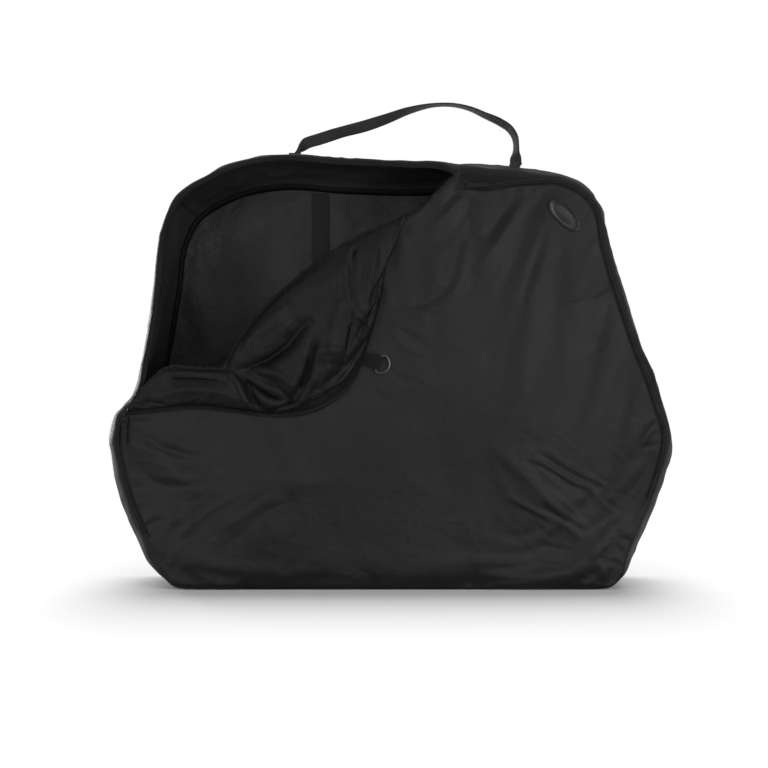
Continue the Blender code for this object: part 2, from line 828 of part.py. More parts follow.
def ring_tab(name, frame, material):
    """Short webbing folded round the ring's bar, both ends sewn into the flap's edge."""
    inner = RING_WIRE / 2 + GAP
    outer = inner + TAB_THICKNESS
    turn = [math.pi * i / 6 for i in range(7)]
    outside = [(TAB_LENGTH, outer)]
    outside += [(-outer * math.sin(a), outer * math.cos(a)) for a in turn]
    outside += [(TAB_LENGTH, -outer)]
    inside = [(TAB_LENGTH, inner)]
    inside += [(-inner * math.sin(a), inner * math.cos(a)) for a in turn]
    inside += [(TAB_LENGTH, -inner)]
    half = TAB_WIDTH / 2
    grids = []
    for line in (outside, inside):
        grids.append([[frame @ Vector((x, y, z)) for x in (-half, half)] for y, z in line])
    slab(name, grids[0], grids[1], material)


def d_ring(name, frame, material):
    """Wire ring: a straight bar in the tab and a round bow outside it."""
    half = RING_WIDTH / 2
    depth = RING_DEPTH
    path = [(share * half, 0.0) for share in RING_BAR_SHARES]
    bow = 14
    for i in range(bow + 1):
        angle = math.pi * i / bow
        path.append((half * math.cos(angle), -RING_WIRE - (depth - RING_WIRE) * math.sin(angle)))
    count = len(path)
    rings = []
    for i, (x, y) in enumerate(path):
        ahead = Vector(path[(i + 1) % count]) - Vector(path[i - 1])
        side = Vector((ahead.y, -ahead.x)).normalized()
        ring = []
        for k in range(8):
            angle = math.tau * k / 8
            reach = RING_WIRE / 2 * math.cos(angle)
            rise = RING_WIRE / 2 * math.sin(angle)
            ring.append(frame @ Vector((x + side.x * reach, y + side.y * reach, rise)))
        rings.append(ring)
    sweep(name, rings, material, closed=True, pivot=frame.translation)


# Badge

def badge(name, front, material):
    middle = Vector((BADGE_SHARES[0] * BAG_WIDTH, BADGE_SHARES[1] * BAG_HEIGHT))
    tilt = Matrix.Rotation(math.radians(BADGE_TILT), 2)
    count = 24
    sides = []
    for lift in (CLOTH + GAP + BADGE_THICKNESS, CLOTH + GAP):
        rings = []
        for share in BADGE_RING_SHARES:
            ring = []
            for i in range(count):
                angle = math.tau * i / count
                flat = Vector((BADGE_LENGTH / 2 * math.cos(angle), BADGE_BREADTH / 2 * math.sin(angle)))
                ring.append(front.point(middle + tilt @ (flat * share), lift))
            rings.append(ring)
        sides.append((rings, front.point(middle, lift)))
    disc(name, sides[0][0], sides[0][1], sides[1][0], sides[1][1], material)


# Strap inside

def wall_strip(name, back, x, low, high, material):
    """Upright strip on the inner face of the back panel, from one height to another."""
    count = max(2, round((high - low) / STRIP_STEP))
    rings = []
    for i in range(count + 1):
        z = low + (high - low) * i / count
        ring = []
        for side, lift in ((-1, GAP), (1, GAP), (1, GAP + STRAP_THICKNESS), (-1, GAP + STRAP_THICKNESS)):
            ring.append(back.point(Vector((x + side * STRAP_WIDTH / 2, z)), -lift))
        rings.append(ring)
    sweep(name, rings, material)


def ladder_lock(name, back, x, z, material):
    """Plastic frame with three bars, which tilts about its lower edge to let the strap slip."""
    half = STRAP_WIDTH / 2 + GAP
    side = LOCK_SIDE
    bar = LOCK_BAR
    length = LOCK_LENGTH
    xs = (-half - side, -half, half, half + side)
    corners = [Vector((x + cx, z + cz)) for cx in (xs[0], xs[-1]) for cz in (0.0, -length)]
    wall = min(back.point(corner, -GAP).y for corner in corners)
    pivot = Vector((x, wall, z - length))
    gap = (length - 3 * bar) / 2
    zs = (0.0, -bar, -bar - gap, -2 * bar - gap, -2 * bar - 2 * gap, -length)
    y0 = wall
    y1 = wall - LOCK_THICKNESS
    block = Corners()

    def is_solid(i, j):
        inside = 0 <= i < 3 and 0 <= j < 5
        return inside and (i != 1 or j in (0, 2, 4))

    for i in range(3):
        for j in range(5):
            if not is_solid(i, j):
                continue
            x0, x1, z0, z1 = x + xs[i], x + xs[i + 1], z + zs[j], z + zs[j + 1]
            for y in (y0, y1):
                block.quad((x0, y, z0), (x1, y, z0), (x1, y, z1), (x0, y, z1))
            if not is_solid(i - 1, j):
                block.quad((x0, y0, z0), (x0, y1, z0), (x0, y1, z1), (x0, y0, z1))
            if not is_solid(i + 1, j):
                block.quad((x1, y0, z0), (x1, y1, z0), (x1, y1, z1), (x1, y0, z1))
            if not is_solid(i, j - 1):
                block.quad((x0, y0, z0), (x0, y1, z0), (x1, y1, z0), (x1, y0, z0))
            if not is_solid(i, j + 1):
                block.quad((x0, y0, z1), (x0, y1, z1), (x1, y1, z1), (x1, y0, z1))
    solid(name, block.points, block.faces, material, pivot)


def build():
    for item in list(bpy.data.objects):
        bpy.data.objects.remove(item, do_unlink=True)

    nylon = finish("black_nylon", (0.018, 0.018, 0.020), 0.62)
    lining = finish("black_lining", (0.022, 0.022, 0.024), 0.7)
    webbing = finish("black_webbing", (0.020, 0.018, 0.019), 0.8)
    coil = finish("zip_coil", (0.016, 0.016, 0.017), 0.5)
    steel = finish("grey_metal", (0.42, 0.42, 0.43), 0.35, 1.0)
    rubber = finish("badge_rubber", (0.020, 0.020, 0.022), 0.45)
    board = finish("base_board", (0.05, 0.05, 0.05), 0.6)
    foam = finish("pad_foam", (0.06, 0.06, 0.065), 0.9)
    plastic = finish("buckle_plastic", (0.015, 0.015, 0.016), 0.4)

    outline = Outline()
    length = outline.length
    side_band(outline, "left_gusset", BASE_LEFT_SHARE, LEFT_JOIN_SHARE, nylon)
    side_band(outline, "top_gusset", LEFT_JOIN_SHARE, RIGHT_JOIN_SHARE, nylon)
    side_band(outline, "right_gusset", RIGHT_JOIN_SHARE, BASE_RIGHT_SHARE, nylon)
    side_band(outline, "base_panel", BASE_RIGHT_SHARE, 1.0 + BASE_LEFT_SHARE, nylon)

    front = Panel(front_edge(outline), -1, FRONT_SWELL)
    back = Panel(back_edge(outline), 1, BACK_SWELL)
    front.build("front_panel", nylon)
    back.build("back_panel", nylon)

    inner_tape(outline, "front_binding", -1, OPEN_END_SHARE, 1.0 + OPEN_START_SHARE, False, webbing)
    inner_tape(outline, "back_binding", 1, 0.0, 1.0, True, webbing)
    base_sheet("base_board", CLOTH + GAP, BOARD_THICKNESS, board)
    base_sheet("base_pad", CLOTH + 2 * GAP + BOARD_THICKNESS, PAD_THICKNESS, foam)

    grid = flap_grid(outline, front)
    fold_low, fold_high = fold_axis()
    slab("front_flap", offset_grid(grid, CLOTH / 2), offset_grid(grid, -CLOTH / 2), lining, pivot=fold_low)
    build_zip(outline, front, coil, steel, fold_low)
    build_handle(outline, webbing)

    frame = tab_frame(outline, front)
    ring_tab("d_ring_tab", frame, webbing)
    d_ring("d_ring", frame, steel)
    badge("rubber_badge", front, rubber)
    build_strap(back, webbing, plastic)


def build_zip(outline, front, coil, steel, fold):
    """Both closed runs of the zip with their sliders and stops, and the two halves of its open run."""
    pieces = (
        ("right", OPEN_END_SHARE, ZIP_RIGHT_END_SHARE, True),
        ("left", ZIP_LEFT_END_SHARE, OPEN_START_SHARE, False),
    )
    for side, low, high, slider_first in pieces:
        start, along = closed_zip(outline, front, "zip_" + side, low, high, coil, slider_first)
        frame, ear_top = slider("slider_" + side, start, along, steel)
        pull_tab("pull_tab_" + side, frame, ear_top, steel)
        end = (high if slider_first else low) * outline.length
        shift = (STOP_LENGTH / 2 + GAP) * (1 if slider_first else -1)
        zip_stop("zip_stop_" + side, outline, front, end + shift, steel)
    open_gusset_zip(outline, coil)
    open_flap_zip(outline, front, coil, fold)


def build_handle(outline, webbing):
    anchor_patch(outline, "handle_anchor_left", HANDLE_LEFT_SHARE, webbing)
    anchor_patch(outline, "handle_anchor_right", HANDLE_RIGHT_SHARE, webbing)
    carry_handle(outline, "carry_handle", webbing)


def build_strap(back, webbing, plastic):
    """Strap sewn to the back wall, its ladder lock and the short strap below the lock."""
    x = STRAP_X_SHARE * BAG_WIDTH
    top = STRAP_TOP_SHARE * BAG_HEIGHT
    low = STRAP_LOW_SHARE * BAG_HEIGHT
    foot = STRAP_FOOT_SHARE * BAG_HEIGHT
    wall_strip("wheel_strap", back, x, low + GAP, top, webbing)
    ladder_lock("ladder_lock", back, x, low, plastic)
    wall_strip("strap_foot", back, x, foot, low - LOCK_LENGTH - LOCK_THICKNESS, webbing)


build()
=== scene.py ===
"""Looks of the soft bicycle travel bag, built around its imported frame."""

import math

import bmesh
import bpy
import numpy as np
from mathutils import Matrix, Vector, kdtree
from mathutils.geometry import delaunay_2d_cdt


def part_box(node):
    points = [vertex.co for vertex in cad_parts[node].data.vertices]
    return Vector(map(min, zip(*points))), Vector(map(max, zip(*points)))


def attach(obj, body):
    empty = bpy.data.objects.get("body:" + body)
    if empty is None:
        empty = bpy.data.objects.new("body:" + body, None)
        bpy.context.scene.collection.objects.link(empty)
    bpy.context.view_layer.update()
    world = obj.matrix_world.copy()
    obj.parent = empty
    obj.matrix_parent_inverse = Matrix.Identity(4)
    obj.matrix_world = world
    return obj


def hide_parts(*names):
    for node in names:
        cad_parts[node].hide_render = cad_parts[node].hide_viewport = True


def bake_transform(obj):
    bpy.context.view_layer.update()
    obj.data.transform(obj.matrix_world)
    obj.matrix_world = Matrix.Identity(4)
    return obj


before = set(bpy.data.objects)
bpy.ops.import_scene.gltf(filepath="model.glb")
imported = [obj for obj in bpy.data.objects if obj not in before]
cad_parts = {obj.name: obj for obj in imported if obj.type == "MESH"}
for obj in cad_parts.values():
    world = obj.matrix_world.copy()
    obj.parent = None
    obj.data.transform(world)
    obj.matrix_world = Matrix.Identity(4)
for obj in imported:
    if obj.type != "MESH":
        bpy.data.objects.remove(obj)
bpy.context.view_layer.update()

# Sizes shared with the solids, in metres
WIDTH = 1.13
HEIGHT = 0.863
DEPTH = 0.235
Y_MID = 0.02665
GAP = 0.0003
CLOTH = 0.004
FRONT_SWELL = 0.014
BACK_SWELL = 0.010
MIDDLE = np.array((0.040 * WIDTH, 0.415 * HEIGHT))
STRAP_X = -0.130 * WIDTH
# Spacing of points round the side wall, and how far the front panel's cloth dips at its seam
WALL_STEP = 0.006
SEAM_DIP = 0.0045

# Camera, and the picture's pixels on a plane of the object
PICTURE = 768
LENS = 78.5
SENSOR = 36.0
EYE = Vector((-0.0137, Y_MID - 3.4, 0.4024))
PIXEL = SENSOR / LENS / PICTURE
FRONT_Y = -0.100

# Floor and surroundings: the foot that the fade leaves out, where the fade starts and ends, the sky's light
FLOOR = 9.0
FOOT = (0.42, 0.10)
FADE = (0.06, 0.62)
FADE_X = 2.6
SKY = 0.22

# Outline, clockwise from the left end of the flat base: across, height, front and back seam insets, as shares
OUTLINE = [
    (-0.330, 0.000, 0.000, 0.000), (-0.378, 0.002, 0.020, 0.020), (-0.405, 0.020, 0.060, 0.060),
    (-0.430, 0.050, 0.100, 0.090), (-0.454, 0.108, 0.115, 0.100), (-0.478, 0.188, 0.110, 0.100),
    (-0.494, 0.275, 0.100, 0.100), (-0.500, 0.348, 0.095, 0.100), (-0.490, 0.400, 0.090, 0.100),
    (-0.457, 0.448, 0.075, 0.100), (-0.441, 0.525, 0.060, 0.110), (-0.420, 0.692, 0.060, 0.120),
    (-0.409, 0.820, 0.060, 0.140), (-0.386, 0.890, 0.060, 0.160), (-0.318, 0.958, 0.060, 0.180),
    (-0.203, 1.000, 0.060, 0.200), (-0.091, 0.992, 0.060, 0.200), (0.030, 0.987, 0.070, 0.200),
    (0.095, 0.9885, 0.105, 0.200), (0.128, 0.9895, 0.225, 0.200), (0.165, 0.990, 0.255, 0.200),
    (0.234, 0.979, 0.180, 0.180),
    (0.306, 0.957, 0.105, 0.150), (0.350, 0.922, 0.085, 0.120), (0.374, 0.882, 0.080, 0.110),
    (0.392, 0.785, 0.085, 0.100), (0.432, 0.616, 0.090, 0.100), (0.482, 0.436, 0.090, 0.100),
    (0.500, 0.355, 0.095, 0.100), (0.482, 0.230, 0.100, 0.100), (0.456, 0.142, 0.105, 0.100),
    (0.430, 0.066, 0.100, 0.090), (0.410, 0.020, 0.060, 0.060), (0.385, 0.002, 0.020, 0.020),
    (0.330, 0.000, 0.000, 0.000),
]
LEFT_JOIN = 0.262
RIGHT_JOIN = 0.5134
BASE_LEFT = 0.008
BASE_RIGHT = 0.774
OPEN_START = 0.134
OPEN_END = 0.434
ZIP_RIGHT_END = 0.708
ZIP_LEFT_END = 0.054


# Points and curves

def place_px(points, y=FRONT_Y):
    """Places (across, up) on a plane facing the camera, for points given in the picture's pixels."""
    reach = (y - EYE.y) * PIXEL
    points = np.asarray(points, float)
    return np.stack((EYE.x + (points[..., 0] - PICTURE / 2) * reach,
                     EYE.z + (PICTURE / 2 - points[..., 1]) * reach), axis=-1)


def around(flat, middle, size):
    """How deep each place lies in a soft spot of the front panel, given in pixels: 1 in its middle."""
    reach = np.array(size) * (FRONT_Y - EYE.y) * PIXEL
    return np.exp(-(((flat - place_px(middle)) / reach) ** 2).sum(axis=1))


def smooth(rows, spacing, closed=False):
    """Smooth curve through the rows, with a point about every spacing along its first two numbers."""
    points = np.asarray(rows, float)
    count = len(points)
    spans = count if closed else count - 1
    ahead = np.roll(points, -1, axis=0)
    lengths = np.linalg.norm((ahead - points)[:spans], axis=1)
    slopes = np.zeros_like(points)
    for i in range(count):
        if closed or 0 < i < count - 1:
            before, after = lengths[i - 1], lengths[i]
            behind = (points[i] - points[i - 1]) / before
            onward = (points[(i + 1) % count] - points[i]) / after
            slopes[i] = (behind * after + onward * before) / (before + after)
        else:
            k = min(i, spans - 1)
            slopes[i] = (points[k + 1] - points[k]) / lengths[k]
    path = []
    for i in range(spans):
        a, b = points[i], points[(i + 1) % count]
        steps = max(1, round(np.linalg.norm((b - a)[:2]) / spacing))
        t = (np.arange(steps) / steps)[:, None]
        leave, arrive = slopes[i] * lengths[i], slopes[(i + 1) % count] * lengths[i]
        path.append(a + leave * t + (3 * (b - a) - 2 * leave - arrive) * t ** 2
                    + (2 * (a - b) + leave + arrive) * t ** 3)
    if not closed:
        path.append(points[-1:])
    return np.concatenate(path)


def marks_along(rows):
    """Distance of each row from the first, along the rows."""
    return np.concatenate(([0.0], np.cumsum(np.linalg.norm(np.diff(rows, axis=0), axis=1))))


def read_rows(at, marks, rows):
    """What the rows say at distances along them."""
    return np.stack([np.interp(at, marks, rows[:, k]) for k in range(rows.shape[1])], axis=1)


def lattice(cell, seed):
    """A random value from -1 to 1 for each cell."""
    mixed = np.sin(cell @ np.array((127.1, 311.7, 74.7)) + seed * 53.3) * 43758.5453
    return 2.0 * (mixed - np.floor(mixed)) - 1.0


def noise(points, size, seed):
    """Smooth noise from -1 to 1; size is one length or one for each axis."""
    p = np.asarray(points, float) / size
    cell = np.floor(p)
    f = p - cell
    f = f * f * (3.0 - 2.0 * f)
    total = 0.0
    for dx in (0, 1):
        for dy in (0, 1):
            for dz in (0, 1):
                share = abs(1 - dx - f[:, 0]) * abs(1 - dy - f[:, 1]) * abs(1 - dz - f[:, 2])
                total = total + share * lattice(cell + (dx, dy, dz), seed)
    return total


def rough(points, size, seed, octaves=3):
    """Noise of several sizes, each half as large and half as strong as the one before."""
    total, share = 0.0, 1.0
    for k in range(octaves):
        total = total + share * noise(points, np.asarray(size) / 2.0 ** k, seed + 7 * k)
        share *= 0.5
    return total


def flat3(flat, y=0.0):
    """Places (across, up) as points in space."""
    flat = np.asarray(flat, float)
    return np.stack((flat[:, 0], np.full(len(flat), y) if np.isscalar(y) else y, flat[:, 1]), axis=1)


def along_line(flat, line):
    """Distance of each place from a line, which side it lies on, and how far along the line it is."""
    best = np.full(len(flat), 1e9)
    side = np.ones(len(flat))
    share = np.zeros(len(flat))
    lengths = np.linalg.norm(np.diff(line, axis=0), axis=1)
    total = lengths.sum()
    passed = 0.0
    for a, b, length in zip(line, line[1:], lengths):
        d = (b - a) / max(length, 1e-9)
        rel = flat - a
        t = np.clip(rel @ d, 0.0, length)
        gap = np.linalg.norm(rel - t[:, None] * d, axis=1)
        near = gap < best
        cross = d[0] * rel[:, 1] - d[1] * rel[:, 0]
        best = np.where(near, gap, best)
        side = np.where(near, np.sign(cross), side)
        share = np.where(near, (passed + t) / total, share)
        passed += length
    return best, side, share


def from_edge(flat, edge):
    """What along_line says of a closed edge."""
    return along_line(flat, np.concatenate((edge, edge[:1])))


def inside(points, loop):
    """Which places lie inside a closed loop."""
    result = np.zeros(len(points), bool)
    a, b = loop, np.roll(loop, -1, axis=0)
    for (x0, z0), (x1, z1) in zip(a, b):
        if z0 == z1:
            continue
        hit = (z0 > points[:, 1]) != (z1 > points[:, 1])
        result ^= hit & (points[:, 0] < (x1 - x0) * (points[:, 1] - z0) / (z1 - z0) + x0)
    return result


def folds(flat, rows):
    """Sum of folds, each with its height, its widths on the line's two sides, and its line."""
    total = np.zeros(len(flat))
    for height, left, right, *line in rows:
        path = smooth(place_px(np.reshape(line, (-1, 2))), 0.012)
        gap, side, share = along_line(flat, path)
        width = np.where(side > 0, left, right) / 1000.0
        ends = np.sin(np.pi * np.clip(share, 0.0, 1.0)) ** 0.5
        sharp = 1.0 if min(left, right) < 5.0 else 1.6
        total += height / 1000.0 * np.exp(-(gap / width) ** sharp) * ends
    return total


def grid_faces(rows, columns, start=0, closed=False, flip=False):
    """Four-sided faces of a grid of points, which closed joins up from its last row to its first."""
    faces = []
    for i in range(rows if closed else rows - 1):
        a, b = start + i * columns, start + (i + 1) % rows * columns
        for j in range(columns - 1):
            quad = (a + j, b + j, b + j + 1, a + j + 1)
            faces.append(quad[::-1] if flip else quad)
    return faces


# Shape of the bag

class Wall:
    """The side wall all round the bag, by the distance along its outline."""

    def __init__(self):
        rows = np.array(OUTLINE) * (WIDTH, HEIGHT, DEPTH, DEPTH)
        path = smooth(rows, WALL_STEP, closed=True)
        path[:, 1:] = np.maximum(path[:, 1:], 0.0)
        ahead = np.roll(path, -1, axis=0)[:, :2] - np.roll(path, 1, axis=0)[:, :2]
        ahead /= np.linalg.norm(ahead, axis=1)[:, None]
        steps = np.linalg.norm(np.roll(path, -1, axis=0)[:, :2] - path[:, :2], axis=1)
        self.marks = np.concatenate(([0.0], np.cumsum(steps)[:-1]))
        self.length = steps.sum()
        self.rows = np.column_stack((path, ahead[:, 1], -ahead[:, 0]))

    def at(self, place):
        """Across, up, front inset, back inset and inward direction at each place."""
        return np.stack([np.interp(place, self.marks, self.rows[:, k], period=self.length)
                         for k in range(self.rows.shape[1])], axis=-1)

    def point(self, place, across, lift=0.0):
        """Points of the wall; across goes from -1 at the front seam to 1 at the back seam."""
        row = self.at(place)
        inset = np.where(across < 0, row[..., 2], row[..., 3])
        drop = inset * np.abs(across) ** 2.4 - lift
        return np.stack((row[..., 0] + row[..., 4] * drop, Y_MID + across * DEPTH / 2,
                         row[..., 1] + row[..., 5] * drop), axis=-1)

    def seam(self, place, side, inset=0.0):
        """Places (across, up) of the front seam, side -1, or the back seam, side 1, moved in by an inset."""
        spot = self.point(np.asarray(place, float), np.full(np.shape(place), float(side)), -inset)
        return spot[..., [0, 2]]

    def places(self, start, end, spacing):
        """Distances round the wall, from one share of its length to another."""
        count = max(2, round((end - start) * self.length / spacing))
        return np.linspace(start * self.length, end * self.length, count + 1)


wall = Wall()

# The opening's edge where the photograph shows it, in pixels, and how far forward it lies
OPENING_PX = [(165, 369), (200, 368.5), (232, 370), (247, 331), (271, 301), (299, 280), (325, 263),
              (345, 248.5), (388, 225.5), (402, 217), (418, 209), (435, 191), (452, 175), (463, 168)]
OPENING_Y = -0.0935


def opening_edge():
    """The front panel's edge along the opening, from the left seam to the top one."""
    start = wall.seam(OPEN_START * wall.length, -1)
    end = wall.seam(OPEN_END * wall.length, -1)
    rows = [start, (-0.436 * WIDTH, 0.448 * HEIGHT), *place_px(OPENING_PX, OPENING_Y), end]
    return smooth(rows, WALL_STEP)


def front_outline():
    """The front panel's edge all the way round."""
    closed = wall.seam(wall.places(OPEN_END, 1.0 + OPEN_START, WALL_STEP), -1)
    return np.concatenate((closed, opening_edge()[1:-1]))


class Panel:
    """A domed panel, by how far out each place lies between its middle and its edge."""

    def __init__(self, edge, side, swell):
        self.edge, self.side, self.swell = edge, side, swell
        # How far the edge is from the middle, direction by direction, softened over a few directions
        self.angles = np.linspace(-math.pi, math.pi, 721)[:-1]
        ray = np.stack((np.cos(self.angles), np.sin(self.angles)), axis=1)
        a = edge - MIDDLE
        along = np.roll(a, -1, axis=0) - a
        cross = ray[:, None, 0] * along[None, :, 1] - ray[:, None, 1] * along[None, :, 0]
        cross = np.where(abs(cross) < 1e-9, 1e-9, cross)
        t = (a[:, 0] * along[:, 1] - a[:, 1] * along[:, 0])[None, :] / cross
        s = (a[None, :, 0] * ray[:, None, 1] - a[None, :, 1] * ray[:, None, 0]) / cross
        reach = np.where((t > 0) & (s >= -0.001) & (s <= 1.001), t, 0.0).max(axis=1)
        kernel = np.exp(-np.linspace(-2, 2, 13) ** 2)
        padded = np.concatenate((reach[-6:], reach, reach[:6]))
        self.reach = np.convolve(padded, kernel / kernel.sum(), mode="valid")

    def out(self, flat):
        """Distance of the panel's inner face from the bag's middle plane."""
        rel = np.asarray(flat) - MIDDLE
        angle = np.arctan2(rel[..., 1], rel[..., 0])
        share = np.linalg.norm(rel, axis=-1) / np.interp(angle, self.angles, self.reach, period=math.tau)
        return DEPTH / 2 + GAP + self.swell * (1.0 - np.clip(share, 0.0, 1.0) ** 2)


front = Panel(front_outline(), -1, FRONT_SWELL)
back = Panel(wall.seam(wall.places(0.0, 1.0, 0.008)[:-1], 1), 1, BACK_SWELL)


def filled(edge, spacing):
    """Even triangles inside a closed edge: their places and their corners."""
    low, high = edge.min(axis=0), edge.max(axis=0)
    xs = np.arange(low[0], high[0], spacing)
    zs = np.arange(low[1], high[1], spacing * 0.866)
    gx, gz = np.meshgrid(xs, zs)
    gx = gx + (np.arange(len(zs)) % 2)[:, None] * spacing / 2
    spots = np.stack((gx.ravel(), gz.ravel()), axis=1)
    spots = spots[inside(spots, edge)]
    gap = from_edge(spots, edge)[0]
    flat = np.concatenate((edge, spots[gap > 0.6 * spacing]))
    border = [(i, (i + 1) % len(edge)) for i in range(len(edge))]
    result = delaunay_2d_cdt([Vector(p) for p in flat], border, [], 1, 1e-7)
    return np.array([tuple(p) for p in result[0]]), [tuple(f) for f in result[2]]


def slackened(points, faces, pins, grow, frames=25, weight=0.35, bend=0.4):
    """How each point moves when cloth slightly too large for its seams hangs under its own weight."""
    mesh = bpy.data.meshes.new("slack")
    mesh.from_pydata(points.tolist(), [], faces)
    item = bpy.data.objects.new("slack", mesh)
    bpy.context.collection.objects.link(item)
    # The seams and the calm places are pinned
    group = item.vertex_groups.new(name="pins")
    for k in np.nonzero(pins > 0.03)[0]:
        group.add([int(k)], float(min(pins[k], 1.0)), "REPLACE")
    modifier = item.modifiers.new("slack", "CLOTH")
    settings = modifier.settings
    settings.quality = 6
    settings.mass = 0.15
    settings.tension_stiffness = settings.compression_stiffness = 15.0
    settings.shear_stiffness = 7.0
    settings.tension_damping = settings.compression_damping = settings.shear_damping = 10.0
    settings.bending_stiffness = bend
    settings.air_damping = 2.0
    settings.shrink_min = settings.shrink_max = -grow
    settings.vertex_group_mass = "pins"
    settings.pin_stiffness = 5.0
    settings.effector_weights.gravity = weight
    modifier.collision_settings.use_collision = False
    modifier.collision_settings.use_self_collision = False
    modifier.point_cache.frame_start, modifier.point_cache.frame_end = 1, frames
    for step in range(1, frames + 1):
        bpy.context.scene.frame_set(step)
    hung = item.evaluated_get(bpy.context.evaluated_depsgraph_get()).data
    moved = np.empty(len(hung.vertices) * 3)
    hung.vertices.foreach_get("co", moved)
    bpy.context.scene.frame_set(1)
    bpy.data.objects.remove(item)
    bpy.data.meshes.remove(mesh)
    return moved.reshape(-1, 3) - points


def eased(values, faces, rounds):
    """Values smoothed over the mesh by so many rounds."""
    a, b = np.array([(f[k], f[(k + 1) % len(f)]) for f in faces for k in range(len(f))]).T
    count = len(values)
    ones = np.bincount(a, minlength=count) + np.bincount(b, minlength=count)
    for _ in range(rounds):
        total = np.bincount(a, values[b], count) + np.bincount(b, values[a], count)
        values = 0.5 * values + 0.5 * total / ones
    return values


def fine_part(moved, faces, rounds, broad, most):
    """The movement with its broad part turned down, and held below a most."""
    slow = eased(moved, faces, rounds)
    mixed = eased(moved - slow, faces, 1) + broad * slow
    return most * np.tanh(mixed / most)


class Field:
    """Values spread over a grid, read between its points."""

    def __init__(self, low, step, values):
        self.low, self.step, self.values = np.array(low), np.array(step), values

    @staticmethod
    def spread(flat, values, step):
        """Grid of values from scattered places, by the nearest few."""
        tree = kdtree.KDTree(len(flat))
        for k, (x, z) in enumerate(flat):
            tree.insert((x, z, 0.0), k)
        tree.balance()
        low = flat.min(axis=0) - step
        size = np.ceil((flat.max(axis=0) + step - low) / step).astype(int) + 1
        grid = np.zeros(size)
        for i in range(size[0]):
            for j in range(size[1]):
                near = tree.find_n((low[0] + i * step, low[1] + j * step, 0.0), 4)
                share = np.array([math.exp(-(gap / step) ** 2 * 0.7) + 1e-9 for _, _, gap in near])
                grid[i, j] = (share * values[[k for _, k, _ in near]]).sum() / share.sum()
        return Field(low, (step, step), grid)

    def at(self, flat):
        """Value at each place."""
        p = (np.asarray(flat) - self.low) / self.step
        top = np.array(self.values.shape) - 1.001
        p = np.clip(p, 0.0, top)
        cell = p.astype(int)
        f = p - cell
        i, j = cell[:, 0], cell[:, 1]
        v = self.values
        upper = v[i, j] * (1 - f[:, 0]) + v[i + 1, j] * f[:, 0]
        lower = v[i, j + 1] * (1 - f[:, 0]) + v[i + 1, j + 1] * f[:, 0]
        return upper * (1 - f[:, 1]) + lower * f[:, 1]


def panel_slack(panel, relief, spacing, grow, calm):
    """Relief of a panel's cloth once it hangs from its seams."""
    flat, faces = filled(panel.edge, spacing)
    gap = from_edge(flat, panel.edge)[0]
    pins = np.clip((0.010 - gap) / 0.006, 0.0, 1.0)
    for spot, radius in calm:
        pins = np.maximum(pins, np.exp(-(np.linalg.norm(flat - np.array(spot), axis=1) / radius) ** 4))
    start = flat3(flat, Y_MID + panel.side * (panel.out(flat) + CLOTH + relief(flat)))
    moved = slackened(start, faces, pins, grow)[:, 1] * panel.side
    moved = fine_part(moved, faces, rounds=70, broad=0.25, most=0.0075)
    return Field.spread(flat, moved, spacing / 2)


